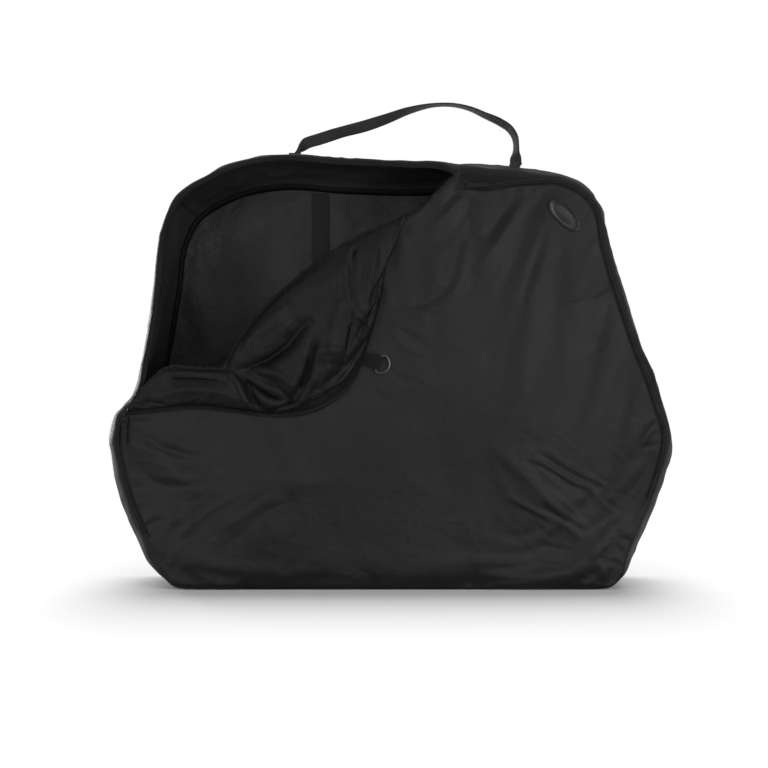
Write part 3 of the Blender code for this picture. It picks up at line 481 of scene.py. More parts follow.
# Folds of the front panel: height in mm, widths in mm on the left and right of its direction, and its line in
# pixels, across and down
FRONT_FOLDS = [
    # upper middle, by the slider
    (3.2, 5, 6, 438, 196, 450, 184, 464, 176),
    (-2.6, 4, 6, 444, 204, 456, 192, 468, 186),
    (2.6, 5, 6, 452, 206, 464, 197, 480, 192),
    (-2.2, 3, 4, 446, 182, 456, 184, 466, 182),
    (1.8, 4, 5, 478, 196, 492, 190, 508, 188),
    (-2.0, 4, 7, 468, 204, 486, 199, 506, 200),
    (5.0, 14, 9, 463, 196, 446, 214, 428, 232),
    (-3.0, 9, 14, 475, 196, 462, 218, 440, 246),
    (-3.4, 5, 10, 462, 238, 457, 262, 449, 284, 434, 299, 414, 306, 394, 304),
    (2.6, 10, 7, 470, 240, 464, 266, 455, 290, 438, 307, 412, 315, 392, 312),
    # upper right
    (5.5, 12, 20, 540, 190, 518, 212, 494, 246, 476, 272),
    (-5.0, 12, 12, 526, 192, 504, 213, 483, 240),
    (3.0, 16, 10, 562, 240, 545, 262, 533, 290, 527, 318),
    (-2.4, 12, 5, 546, 234, 532, 268, 521, 304),
    (-2.8, 5, 8, 617, 283, 598, 290, 575, 298, 552, 302),
    (2.4, 5, 6, 620, 291, 600, 298, 576, 306),
    (-2.2, 5, 9, 630, 330, 608, 338, 584, 346),
    (2.0, 5, 7, 634, 340, 612, 348, 590, 357),
    # right corner
    (-2.6, 4, 7, 660, 404, 646, 413, 628, 420, 606, 426),
    (3.4, 7, 7, 664, 418, 650, 430, 640, 446, 628, 456),
    (-3.0, 4, 4, 655, 446, 644, 447, 634, 444),
    (-2.2, 4, 6, 652, 468, 640, 484, 630, 498),
    # lower right
    (-4.6, 4, 6, 536, 451, 560, 467, 578, 477, 608, 490, 626, 494),
    (3.2, 5, 6, 538, 460, 562, 475, 592, 489),
    (-2.6, 3, 4, 586, 468, 598, 476, 611, 486),
    (-3.6, 5, 6, 524, 461, 542, 467, 556, 475, 570, 486, 585, 492),
    (8.5, 32, 18, 486, 440, 516, 468, 538, 489, 556, 508, 576, 530, 602, 554),
    (9.0, 70, 30, 486, 604, 530, 590, 566, 584, 606, 590),
    (-4.4, 7, 7, 538, 504, 562, 518, 590, 535),
    (2.8, 5, 4, 506, 495, 527, 507, 550, 519),
    (-2.4, 3, 5, 512, 503, 530, 513, 546, 522),
    (-3.0, 5, 6, 540, 545, 558, 549, 576, 552),
    (-3.0, 5, 6, 536, 562, 554, 566, 572, 570),
    (2.2, 8, 6, 586, 548, 598, 562, 606, 580),
    (-2.2, 3, 3, 620, 538, 628, 541, 638, 543),
    (-2.0, 3, 3, 616, 544, 620, 550, 625, 556),
    (-1.8, 3, 4, 600, 556, 612, 562, 622, 564),
    # left corner and lower left
    (-3.4, 7, 5, 116, 428, 145, 438, 163, 448, 205, 459),
    (3.4, 7, 14, 116, 441, 148, 450, 172, 459, 208, 467),
    (2.8, 9, 24, 198, 462, 222, 474, 270, 478, 318, 482, 346, 478),
    (-1.6, 22, 12, 322, 486, 288, 500, 258, 516, 232, 536, 210, 560),
    (2.6, 18, 36, 326, 480, 284, 492, 248, 510, 216, 536, 190, 570),
    (-1.6, 4, 5, 300, 500, 274, 508, 250, 524, 236, 540),
    (-1.8, 4, 5, 282, 486, 262, 496, 246, 508, 238, 520),
    (-3.0, 4, 5, 150, 481, 165, 486, 180, 487, 207, 483),
    (2.2, 6, 5, 150, 474, 176, 479, 206, 477),
    (2.6, 7, 6, 171, 574, 174, 548, 188, 528, 215, 508, 250, 490),
    (-3.0, 5, 6, 166, 562, 169, 540, 181, 521, 204, 505),
    (-2.0, 3, 4, 118, 484, 132, 488, 143, 486),
    (-2.2, 3, 4, 121, 494, 134, 499, 147, 497),
    (-2.0, 3, 4, 126, 506, 138, 509, 149, 504),
    (2.0, 5, 5, 138, 526, 150, 518, 164, 514),
    (-2.6, 4, 6, 143, 544, 158, 555, 172, 574),
    (-1.8, 4, 6, 200, 422, 214, 412, 232, 414),
    (3.0, 4, 4, 119, 413, 136, 417, 156, 414),
    (-2.4, 3, 4, 117, 419, 133, 423, 150, 421),
    (2.0, 3, 3, 118, 426, 126, 429, 138, 428),
    # middle, under the folded corner and the ring
    (-2.0, 4, 7, 372, 388, 384, 398, 398, 404),
    (-1.8, 5, 8, 380, 366, 400, 378, 424, 384),
    (-2.2, 5, 9, 386, 318, 402, 332, 424, 342),
    (2.0, 8, 6, 388, 330, 404, 346, 430, 358),
    (-2.4, 8, 12, 134, 418, 170, 424, 214, 420, 262, 424),
    (4.0, 40, 30, 520, 330, 524, 380, 532, 440),
    (-3.0, 40, 46, 420, 400, 440, 450, 450, 520),
]
# Places where a hard piece lies on the panel, and how far round it the cloth stays calm
CALM = [((0.148, 0.790), 0.018), ((-0.520, 0.328), 0.020), ((-0.022, 0.443), 0.026), ((0.339, 0.732), 0.045)]


# Zones of fine streaks: middle and size in pixels, direction in degrees, height, width and length in mm
STREAKS = [
    ((585, 505), (75, 70), -42, 2.4, 9, 70),
    ((598, 560), (45, 30), -36, 1.6, 7, 50),
    ((640, 430), (26, 60), 24, 1.8, 8, 40),
    ((600, 300), (50, 45), 12, 1.6, 8, 60),
    ((520, 240), (70, 60), 58, 2.0, 11, 90),
    ((455, 250), (55, 60), 62, 1.6, 10, 60),
    ((150, 480), (50, 60), 6, 2.0, 9, 60),
    ((190, 520), (60, 45), 40, 2.4, 9, 60),
    ((260, 470), (90, 40), 4, 1.2, 11, 90),
    ((410, 320), (45, 45), -30, 1.6, 9, 45),
    ((470, 420), (90, 80), 70, 0.9, 14, 120),
]


def streaks(flat, seed, direction, width, length):
    """Uneven ridges along one direction, sharp on top."""
    turn = math.radians(direction)
    along = flat[:, 0] * math.cos(turn) + flat[:, 1] * math.sin(turn)
    across = flat[:, 1] * math.cos(turn) - flat[:, 0] * math.sin(turn)
    sway = 0.6 * width * noise(flat3(flat), 0.06, seed + 3)
    p = np.stack((along, across + sway, np.zeros(len(flat))), axis=1)
    fine = 0.4 * np.abs(noise(p, (length * 0.6, width, 1.0), seed + 1))
    return 0.6 - np.abs(noise(p, (length, 2.0 * width, 1.0), seed)) - fine


def streak_zones(flat):
    """Height of the streaks, zone by zone."""
    total = np.zeros(len(flat))
    for k, (middle, size, direction, height, width, length) in enumerate(STREAKS):
        share = around(flat, middle, size)
        near = share > 0.02
        fine = streaks(flat[near], 200 + 11 * k, direction, width / 1000.0, length / 1000.0)
        total[near] += height / 1000.0 * share[near] * fine
    return total


def front_folds(flat):
    """Folds of the front panel as the photograph shows them."""
    p = flat3(flat)
    radial = np.linalg.norm((flat - MIDDLE) / (0.5 * WIDTH, 0.5 * HEIGHT), axis=1)
    busy = 0.35 + 0.65 * np.clip(radial, 0.0, 1.0) ** 2
    relief = 1.25 * folds(flat, FRONT_FOLDS) + streak_zones(flat)
    # Swells, broad and small
    relief = relief + 0.0060 * noise(p, (0.23, 1.0, 0.19), 3)
    relief = relief + 0.0024 * busy * rough(p, (0.085, 1.0, 0.060), 11)
    # Slanting ridges here and there
    turned = np.stack((0.8 * p[:, 0] + 0.6 * p[:, 2], p[:, 1], -0.6 * p[:, 0] + 0.8 * p[:, 2]), axis=1)
    ridges = 1.0 - np.abs(noise(turned, (0.110, 1.0, 0.026), 23))
    some = np.clip(0.5 + noise(p, (0.16, 1.0, 0.16), 31), 0.0, 1.0)
    relief = relief + 0.0014 * busy * (ridges - 0.5) * some
    # Puckers along the seam, where the cloth is held
    gap, _, share = from_edge(flat, front.edge)
    place = np.stack((share * 3.4, gap, np.zeros(len(flat))), axis=1)
    some = np.clip(0.5 + noise(place, (0.12, 1.0, 1.0), 43), 0.0, 1.0)
    puckers = noise(place, (0.011, 0.050, 1.0), 41) * some
    low = np.clip((0.06 - flat[:, 1]) / 0.04, 0.0, 1.0)
    held = 1.0 - 0.85 * np.exp(-(gap / (0.013 - 0.009 * low)) ** 2)
    relief = relief * held + 0.0018 * puckers * np.exp(-gap / 0.022)
    for spot, radius in CALM:
        near = np.linalg.norm(flat - np.array(spot), axis=1) / radius
        relief = relief * (1.0 - np.exp(-near ** 4))
    return relief - (SEAM_DIP - 0.0040 * low) * np.exp(-(gap / 0.006) ** 1.5)


# Zones where the hanging cloth stays flatter: middle and size in pixels, and how much of it goes
QUIET = [((262, 545), (80, 42), 0.85), ((390, 530), (95, 80), 0.75), ((420, 420), (80, 70), 0.5)]
# How the simulated cloth of each piece moves
HUNG = {}


def front_relief(flat):
    """How far the front panel's cloth stands above its plain dome."""
    relief = front_folds(flat)
    if "front" not in HUNG:
        return relief
    share = np.ones(len(flat))
    for middle, size, drop in QUIET:
        share *= 1.0 - drop * around(flat, middle, size)
    return relief + share * HUNG["front"].at(flat)


def side_lift(points, place, seed):
    """Wrinkles of the side wall's cloth: soft hollows and short creases across it."""
    q = np.stack((place, points[:, 1], np.zeros(len(place))), axis=1)
    lift = 0.0026 * rough(points, 0.105, seed)
    creases = 1.0 - np.abs(noise(q, (0.026, 0.190, 1.0), seed + 5))
    mask = np.clip(0.35 + noise(q, (0.16, 0.30, 1.0), seed + 9), 0.0, 1.0)
    lift = lift + 0.0032 * (creases - 0.6) * mask
    slant = np.stack((place * 0.8 + points[:, 1] * 0.6, points[:, 1] * 0.8 - place * 0.6, q[:, 2]), axis=1)
    return lift + 0.0018 * (0.5 - np.abs(noise(slant, (0.020, 0.11, 1.0), seed + 15))) * (1.0 - mask)


def off_strap(flat):
    """How far each place is from the inner strap, under which the cloth stays calm: 0 on it."""
    return 1.0 - np.exp(-((flat[:, 0] - STRAP_X) / 0.035) ** 4)


def back_folds(flat):
    """Soft upright folds of the back panel."""
    p = flat3(flat)
    relief = 0.0030 * rough(p, (0.14, 1.0, 0.11), 51)
    ridges = 1.0 - np.abs(noise(p, (0.05, 1.0, 0.19), 57))
    gap = from_edge(flat, back.edge)[0]
    relief = (relief + 0.0030 * (ridges - 0.6)) * np.clip(gap / 0.02, 0.1, 1.0) * off_strap(flat)
    return relief - 0.004 * np.exp(-(gap / 0.006) ** 1.5)


def back_relief(flat):
    """How far the back panel's cloth stands above its plain dome."""
    relief = back_folds(flat)
    if "back" not in HUNG:
        return relief
    return relief + HUNG["back"].at(flat) * off_strap(flat)


def wall_slack(spacing, grow):
    """Lift of the side wall's cloth, by distance along it and across, once it hangs from its seams."""
    places = np.linspace(0.0, wall.length, round(wall.length / spacing) + 1)[:-1]
    across = np.linspace(-1.0, 1.0, round(DEPTH / spacing) + 1)
    rows, columns = len(places), len(across)
    grid_place, grid_across = np.meshgrid(places, across, indexing="ij")
    plain = wall.point(grid_place, grid_across)
    faces = grid_faces(rows, columns, closed=True)
    edge = (1.0 - np.abs(grid_across)) * DEPTH / 2
    low = np.clip((0.03 - plain[..., 2]) / 0.02, 0.0, 1.0)
    pins = np.maximum(np.clip((0.012 - edge) / 0.008, 0.0, 1.0), low).ravel()
    moved = slackened(plain.reshape(-1, 3), faces, pins, grow)
    outward = -(moved[:, [0, 2]] * wall.at(grid_place)[..., 4:6].reshape(-1, 2)).sum(axis=1)
    lift = fine_part(outward, faces, rounds=60, broad=0.1, most=0.006).reshape(rows, columns)
    lift = np.where(lift > 0.0, 0.35 * lift, lift)
    lift = np.concatenate((lift, lift[:1]))
    return Field((0.0, -1.0), (wall.length / rows, 2.0 / (columns - 1)), lift)


# Of the calm places, the one under the ring hangs free
HUNG["front"] = panel_slack(front, front_folds, spacing=0.008, grow=0.005, calm=CALM[:2] + CALM[3:])
HUNG["back"] = panel_slack(back, back_folds, spacing=0.012, grow=0.005, calm=[])
HUNG["wall"] = wall_slack(spacing=0.011, grow=0.006)


# Meshes

def add_mesh(name, points, faces, material, body="bag", sharp=None):
    """A smooth mesh that rides on a body, with edges over sharp degrees kept sharp."""
    mesh = bpy.data.meshes.new(name)
    mesh.from_pydata(np.asarray(points).tolist(), [], faces)
    mesh.validate()
    mesh.materials.append(material)
    mesh.shade_smooth()
    if sharp:
        mesh.set_sharp_from_angle(angle=math.radians(sharp))
    item = bpy.data.objects.new(name, mesh)
    bpy.context.collection.objects.link(item)
    if body:
        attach(item, body)
    return item


def closed_mesh(*shape):
    """A mesh as add_mesh makes it, with all its faces turned outward."""
    item = add_mesh(*shape)
    turned = bmesh.new()
    turned.from_mesh(item.data)
    bmesh.ops.recalc_face_normals(turned, faces=turned.faces)
    turned.to_mesh(item.data)
    turned.free()
    return item


def sheet_mesh(name, outer, inner, material, body="bag", closed=False):
    """Closed sheet between two grids of points of one shape."""
    rows, columns = outer.shape[:2]
    half = rows * columns
    faces = grid_faces(rows, columns, closed=closed) + grid_faces(rows, columns, half, closed, flip=True)
    edges = []
    for i in range(rows if closed else rows - 1):
        k = (i + 1) % rows
        edges += [(i * columns, k * columns), (k * columns + columns - 1, i * columns + columns - 1)]
    if not closed:
        for j in range(columns - 1):
            edges += [(j + 1, j), ((rows - 1) * columns + j, (rows - 1) * columns + j + 1)]
    faces += [(b, a, a + half, b + half) for a, b in edges]
    points = np.concatenate((outer.reshape(-1, 3), inner.reshape(-1, 3)))
    return closed_mesh(name, points, faces, material, body)


def tube_mesh(name, rings, material, body="bag", sharp=None):
    """Closed tube through rings of points."""
    rings = np.asarray(rings)
    rows, count = rings.shape[:2]
    faces = []
    for i in range(rows - 1):
        for j in range(count):
            n = (j + 1) % count
            faces.append((i * count + j, i * count + n, (i + 1) * count + n, (i + 1) * count + j))
    faces.append(tuple(range(count))[::-1])
    faces.append(tuple(range((rows - 1) * count, rows * count)))
    return closed_mesh(name, rings.reshape(-1, 3), faces, material, body, sharp)


def bar_mesh(name, lines, material, body="bag", sharp=None):
    """Closed tube whose long edges are the lines of points."""
    return tube_mesh(name, np.stack(lines, axis=1), material, body, sharp)


def panel_mesh(name, panel, relief, spacing, material):
    """Closed padded panel, filled with even triangles inside its edge."""
    flat, triangles = filled(panel.edge, spacing)
    rise = relief(flat)
    depth = panel.out(flat)
    outer = flat3(flat, Y_MID + panel.side * (depth + CLOTH + rise))
    inner = flat3(flat, Y_MID + panel.side * (depth + rise * 0.9))
    half = len(flat)
    edges = [(f[k], f[(k + 1) % 3]) for f in triangles for k in range(3)]
    used = set(edges)
    faces = []
    for f in triangles:
        f = f if panel.side > 0 else f[::-1]
        faces += [f[::-1], tuple(half + v for v in f)]
    for a, b in edges:
        if (b, a) not in used:
            quad = (a, b, b + half, a + half)
            faces.append(quad[::-1] if panel.side > 0 else quad)
    return closed_mesh(name, np.concatenate((outer, inner)), faces, material)


def dress(item, node):
    """Hides the solid that the piece replaces."""
    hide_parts(node)


# Materials

class Nodes:
    """Short way to build the nodes of a material or of the world."""

    def __init__(self, owner):
        owner.use_nodes = True
        self.owner, self.tree = owner, owner.node_tree

    def node(self, kind, inputs=None, **settings):
        """A new node; an input that is another node's output is linked, and a number is set."""
        item = self.tree.nodes.new(kind)
        for key, value in settings.items():
            setattr(item, key, value)
        for key, value in (inputs or {}).items():
            self.feed(item.inputs[key], value)
        return item

    def feed(self, socket, value):
        """Links another node's output to the socket, or sets its number."""
        if isinstance(value, bpy.types.NodeSocket):
            self.tree.links.new(value, socket)
        elif value is not None:
            socket.default_value = value

    def math(self, operation, a, b=None):
        return self.node("ShaderNodeMath", {0: a, 1: b}, operation=operation).outputs[0]

    def range(self, value, low, high, to_low, to_high):
        return self.node("ShaderNodeMapRange", {"Value": value, "From Min": low, "From Max": high,
                                                "To Min": to_low, "To Max": to_high}).outputs["Result"]

    def seen(self):
        """1 for what the camera sees, itself or in a mirror or through glass, and 0 for what only lights."""
        path = self.node("ShaderNodeLightPath").outputs
        seen = self.math("MAXIMUM", path["Is Camera Ray"], path["Is Glossy Ray"])
        return self.math("MAXIMUM", seen, path["Is Transmission Ray"])


class Surface(Nodes):
    """Short way to build a material."""

    def __init__(self, name):
        super().__init__(bpy.data.materials.new(name))
        self.shader = self.tree.nodes["Principled BSDF"]
        self.place = self.node("ShaderNodeTexCoord").outputs["Object"]

    def set(self, **values):
        """Feeds the shader's sockets, named with _ for a space."""
        for key, value in values.items():
            self.feed(self.shader.inputs[key.replace("_", " ")], value)

    def scaled(self, scale, turn):
        return self.node("ShaderNodeMapping", {"Scale": scale, "Rotation": turn,
                                               "Vector": self.place}).outputs[0]

    def noise(self, scale, detail=3.0, place=None, distortion=0.0):
        return self.node("ShaderNodeTexNoise", {"Scale": scale, "Detail": detail, "Distortion": distortion,
                                                "Vector": place or self.place}).outputs["Fac"]

    def wave(self, axis, scale, distortion=0.0):
        return self.node("ShaderNodeTexWave", {"Scale": scale, "Distortion": distortion,
                                               "Vector": self.place},
                         wave_type="BANDS", bands_direction=axis).outputs["Fac"]

    def colours(self, factor, dark, light):
        return self.node("ShaderNodeMix", {"Factor": factor, 6: (*dark, 1.0), 7: (*light, 1.0)},
                         data_type="RGBA").outputs[2]

    def bump(self, height, distance, strength=1.0, below=None):
        return self.node("ShaderNodeBump", {"Strength": strength, "Distance": distance, "Height": height,
                                            "Normal": below}).outputs["Normal"]

    def finish(self, normal, tone, dark, light, gloss, **values):
        """Relief, colour and roughness of the surface, and its uniform numbers; it gives the material."""
        self.set(Normal=normal, Base_Color=self.colours(tone, dark, light), Roughness=gloss, **values)
        return self.owner


def cloth(name, dark, light, roughness, wrinkle, specular=0.12, weave=0.00010):
    """Woven nylon: fine square weave, small wrinkles, slight changes of tone and gloss."""
    n = Surface(name)
    threads = n.math("ADD", n.wave("X", 400.0), n.math("ADD", n.wave("Y", 400.0), n.wave("Z", 400.0)))
    fine = n.bump(threads, weave, 0.6)
    small = n.noise(55.0, 5.0, n.scaled((1.0, 1.0, 1.6), (0.0, 0.5, 0.0)), distortion=0.6)
    large = n.noise(13.0, 4.0, distortion=0.8)
    relief = n.bump(large, wrinkle, below=n.bump(small, wrinkle * 0.5, below=fine))
    tone = n.range(n.noise(5.0, 4.0), 0.3, 0.7, 0.0, 1.0)
    gloss = n.range(n.noise(9.0, 3.0), 0.3, 0.7, roughness - 0.06, roughness + 0.07)
    return n.finish(relief, tone, dark, light, gloss, Specular_IOR_Level=specular)


# How often a wave texture of scale 1 repeats, and how often the webbing's ribs do
WAVE_LENGTH = 0.314
RIB_STEP = 0.0022


def webbing(name, dark, light, along, specular=0.25, sheen=0.15):
    """Woven webbing: close ribs across it, crossed by slanting threads."""
    n = Surface(name)
    ribs = n.wave(along, WAVE_LENGTH / RIB_STEP, distortion=0.4)
    slant = n.wave("DIAGONAL", WAVE_LENGTH / RIB_STEP * 0.8)
    height = n.math("ADD", ribs, n.math("MULTIPLY", slant, 0.5))
    fuzz = n.noise(900.0, 2.0)
    relief = n.bump(fuzz, 0.0002, 0.5, below=n.bump(height, 0.0006, 0.8))
    return n.finish(relief, height, dark, light, n.range(fuzz, 0.3, 0.7, 0.72, 0.86),
                    Specular_IOR_Level=specular, Sheen_Weight=sheen, Sheen_Roughness=0.5)


def metal(name, colour, roughness):
    """Bare metal with fine scratches and worn spots."""
    n = Surface(name)
    relief = n.bump(n.noise(160.0, 4.0, n.scaled((1.0, 1.0, 9.0), (0.3, 0.2, 0.0))), 0.00005, 0.5)
    gloss = n.range(n.noise(90.0, 3.0), 0.3, 0.7, roughness - 0.08, roughness + 0.1)
    tone = n.range(n.noise(40.0, 4.0), 0.4, 0.65, 0.0, 1.0)
    return n.finish(relief, tone, tuple(c * 0.75 for c in colour), colour, gloss, Metallic=1.0)


def moulded(name, dark, light, roughness, grain=1400.0, depth=0.00008, specular=0.35):
    """Moulded rubber or plastic with a fine grain."""
    n = Surface(name)
    relief = n.bump(n.noise(grain, 2.0), depth, 0.7)
    tone = n.range(n.noise(25.0, 4.0), 0.35, 0.65, 0.0, 1.0)
    gloss = n.range(n.noise(60.0, 3.0), 0.3, 0.7, roughness - 0.06, roughness + 0.08)
    return n.finish(relief, tone, dark, light, gloss, Specular_IOR_Level=specular)


NYLON = cloth("black_nylon", (0.0042, 0.0042, 0.0046), (0.0072, 0.0072, 0.0078), 0.36, wrinkle=0.0014)
LINING = cloth("black_lining", (0.0036, 0.0036, 0.0039), (0.0062, 0.0062, 0.0067), 0.40, wrinkle=0.0026,
               specular=0.09)
WALL_NYLON = cloth("black_nylon_wall", (0.0052, 0.0052, 0.0056), (0.0092, 0.0092, 0.0098), 0.52,
                   wrinkle=0.0016, specular=0.05)
# Lining inside the side wall, lighter than the black lining: painted light, standing in for the light that
# reaches the inside of the bag
WALL_LINING_PAINTED_LIGHT = cloth("wall_lining", (0.014, 0.014, 0.0145), (0.028, 0.028, 0.029), 0.5, wrinkle=0.0036)
# Lining inside the back panel, lighter than the black lining: painted light, standing in for the light that
# reaches the inside of the bag
BACK_LINING_PAINTED_LIGHT = cloth("back_lining", (0.016, 0.016, 0.0165), (0.029, 0.029, 0.030), 0.5, wrinkle=0.0060,
                    specular=0.16)
TAPE = cloth("zip_tape", (0.0042, 0.0042, 0.0046), (0.0072, 0.0072, 0.0078), 0.6, wrinkle=0.0004,
             specular=0.08, weave=0.0002)
STRAP = webbing("black_webbing", (0.007, 0.006, 0.0066), (0.016, 0.0135, 0.0145), along="X")
STRAP_UP = webbing("black_webbing_upright", (0.006, 0.0055, 0.0058), (0.013, 0.012, 0.0125), along="Z")
TAB = webbing("tab_webbing", (0.002, 0.002, 0.0021), (0.0045, 0.0045, 0.0047), along="Z", specular=0.12,
              sheen=0.04)
COIL = moulded("zip_coil", (0.004, 0.004, 0.0044), (0.0075, 0.0075, 0.008), 0.55, specular=0.08)
DARK_METAL = moulded("black_enamel", (0.0030, 0.0030, 0.0033), (0.0060, 0.0060, 0.0064), 0.46, grain=900.0,
                     depth=0.00002, specular=0.10)
RUBBER = moulded("badge_rubber", (0.0022, 0.0022, 0.0025), (0.0045, 0.0045, 0.0048), 0.26, grain=2200.0,
                 depth=0.00005, specular=0.24)
BOARD = moulded("base_board", (0.03, 0.03, 0.032), (0.05, 0.05, 0.052), 0.5)
FOAM = moulded("pad_foam", (0.030, 0.030, 0.032), (0.050, 0.050, 0.053), 0.85, grain=500.0, depth=0.0003)
PLASTIC = moulded("buckle_plastic", (0.010, 0.010, 0.011), (0.016, 0.016, 0.017), 0.38)
GREY_METAL = metal("grey_metal", (0.075, 0.075, 0.077), 0.42)


# Side wall

def wall_lift(points, place, across, seed, amount):
    """How far the side wall's cloth stands above its plain shape."""
    lift = side_lift(points, place, seed) * amount
    if "wall" in HUNG:
        lift = 0.6 * lift + HUNG["wall"].at(np.stack((place % wall.length, across), axis=1))
    return lift


def side_piece(name, start, end):
    """A length of the side wall, black outside, and lined inside with a lighter lining whose colour is
    painted light.
    """
    places = wall.places(start, end, WALL_STEP)
    across = np.linspace(-1.0, 1.0, 41)
    # Its rows of points lie closer together by the seams
    across = np.sign(across) * np.abs(across) ** 0.85
    grid_place, grid_across = np.meshgrid(places, across, indexing="ij")
    plain = wall.point(grid_place, grid_across)
    shape = grid_place.shape
    spots = (plain.reshape(-1, 3), grid_place.ravel(), grid_across.ravel())
    room = np.clip((1.0 - np.abs(grid_across)) / 0.10, 0.0, 1.0)
    level = np.clip(plain[..., 2] / 0.03, 0.0, 1.0)
    outer_lift = wall_lift(*spots, seed=5, amount=1.3).reshape(shape) * room * level
    inner_lift = wall_lift(*spots, seed=45, amount=2.2).reshape(shape) * room * level
    inner_lift = np.minimum(inner_lift, outer_lift)
    tuck = 0.0035 * np.exp(-((1.0 - np.abs(grid_across)) * DEPTH / 2 / 0.006) ** 1.5) * level
    outer = wall.point(grid_place, grid_across, outer_lift - tuck)
    inner = wall.point(grid_place, grid_across, inner_lift - tuck - CLOTH)
    outer[..., 2] = np.maximum(outer[..., 2], 0.0)
    item = sheet_mesh(name, outer, inner, WALL_NYLON)
    # The inward faces get the lighter lining, whose colour is painted light for the inside of the bag
    item.data.materials.append(WALL_LINING_PAINTED_LIGHT)
    middle = np.array((MIDDLE[0], Y_MID, MIDDLE[1]))
    for face in item.data.polygons:
        if np.dot(middle - np.array(face.center), np.array(face.normal)) > 0.0:
            face.material_index = 1
    return item


# Lengths of the side wall: piece, solid, the shares of the outline it runs between, and its flat length
SIDES = (
    ("left_wall_cloth", "left_gusset", BASE_LEFT, LEFT_JOIN, 0.88),
    ("top_wall_cloth", "top_gusset", LEFT_JOIN, RIGHT_JOIN, 0.87),
    ("right_wall_cloth", "right_gusset", RIGHT_JOIN, BASE_RIGHT, 0.90),
    ("base_cloth", "base_panel", BASE_RIGHT, 1.0 + BASE_LEFT, 0.81),
)
for piece_name, node, start, end, length in SIDES:
    piece = side_piece(piece_name, start, end)
    dress(piece, node)


# Panels

def panel_piece(name, node, panel, relief, spacing, lining):
    """A panel's cloth, black outside and lined inside."""
    item = panel_mesh(name, panel, relief, spacing, NYLON)
    item.data.materials.append(lining)
    for face in item.data.polygons:
        if face.normal.y * panel.side < 0.0:
            face.material_index = 1
    dress(item, node)


panel_piece("front_cloth", "front_panel", front, front_relief, spacing=0.0052, lining=LINING)
# The back panel's inner face gets the lighter lining, whose colour is painted light for the inside of the bag
panel_piece("back_cloth", "back_panel", back, back_relief, spacing=0.010, lining=BACK_LINING_PAINTED_LIGHT)


# Folded corner

# How finely its cloth is made along the fold and across it, its least height over the panel's cloth, its
# thickness, and how far forward its fold lies
FLAP_STEP = 0.0032
FLAP_COLUMNS = 88
FLAP_CLEAR = 0.0008
FLAP_THICK = 0.003
HEM_Y = -0.110
# Rows along the fold, in pixels: a point of the fold, a point of the free edge, and the reach forward in mm
FLAP_ROWS = [
    (131, 402, 127, 411, 8),
    (143, 388, 138, 409, 16),
    (163, 369, 158, 407, 21),
    (200, 367.5, 197, 404, 27),
    (224, 366, 236, 408, 34),
    (236, 345, 264, 412, 42),
    (254, 320, 290, 412, 47),
    (281, 293, 318, 405, 50),
    (309, 270, 342, 389, 50),
    (334, 252, 358, 366, 46),
    (356, 239, 370, 332, 40),
    (375, 229, 380, 296, 31),
    (391, 223, 386, 262, 20),
    (408, 215, 396, 238, 9),
]
# Its section from the fold to the free edge: how far along, and how far forward, as shares
FLAP_SECTION = [(0.02, 0.10), (-0.012, 0.26), (0.0, 0.50), (0.05, 0.72), (0.18, 0.92), (0.40, 1.00),
                (0.64, 0.88), (0.84, 0.55), (0.95, 0.20), (1.00, 0.00)]
# Folds of the folded corner's cloth, as the front panel's are given
FLAP_FOLDS = [
    (3.0, 3, 4, 163, 371, 198, 371, 233, 373),
    (-3.5, 4, 6, 165, 376, 198, 377, 232, 380),
    (5.0, 12, 8, 150, 398, 184, 388, 226, 392, 250, 402),
    (-3.0, 3, 6, 135, 402, 150, 398, 165, 400),
    (-9.0, 7, 11, 235, 371, 246, 378, 254, 392, 266, 408),
    (-8.0, 6, 8, 246, 376, 258, 384, 270, 391, 284, 398),
    (4.5, 5, 5, 228, 370, 240, 380, 246, 394, 254, 406),
    (-12.0, 8, 15, 234, 369, 258, 361, 284, 346, 301, 327, 314, 317),
    (6.0, 16, 14, 229, 364, 243, 347, 262, 328, 290, 300),
    (-3.0, 6, 8, 262, 352, 284, 336, 300, 316),
    (-6.0, 7, 12, 244, 368, 268, 376, 284, 388, 294, 400),
    (5.0, 6, 7, 252, 366, 280, 372, 300, 388),
    (-7.0, 7, 11, 286, 404, 300, 382, 310, 352, 316, 330),
    (5.0, 6, 8, 292, 408, 308, 384, 318, 354, 324, 330),
    (-5.0, 4, 7, 266, 407, 284, 402, 300, 396),
    (-3.0, 4, 8, 305, 366, 326, 360, 346, 364),
    (3.5, 7, 7, 300, 354, 322, 348, 348, 350),
    (2.2, 3, 3, 357, 236, 350, 248, 345, 263, 346, 288, 352, 310, 368, 326),
    (-3.0, 3, 6, 362, 238, 355, 250, 350, 264, 351, 288, 357, 308, 372, 322),
    (-5.0, 4, 6, 345, 312, 356, 318, 370, 336),
    (4.0, 5, 4, 348, 322, 358, 334, 368, 340),
    (5.0, 10, 10, 340, 300, 334, 330, 328, 360, 318, 384),
    (-4.0, 5, 9, 352, 300, 346, 332, 342, 356, 336, 376),
    (4.0, 8, 8, 376, 240, 374, 262, 368, 290, 366, 312),
    (3.0, 4, 6, 330, 392, 342, 378, 352, 362),
]


def flap_rows():
    """Fold, free edge and reach forward, at even steps along the fold."""
    rows = np.array(FLAP_ROWS, float)
    hem = place_px(rows[:, :2], HEM_Y)
    free = place_px(rows[:, 2:4])
    return smooth(np.column_stack((hem, free, rows[:, 4] / 1000.0)), FLAP_STEP)


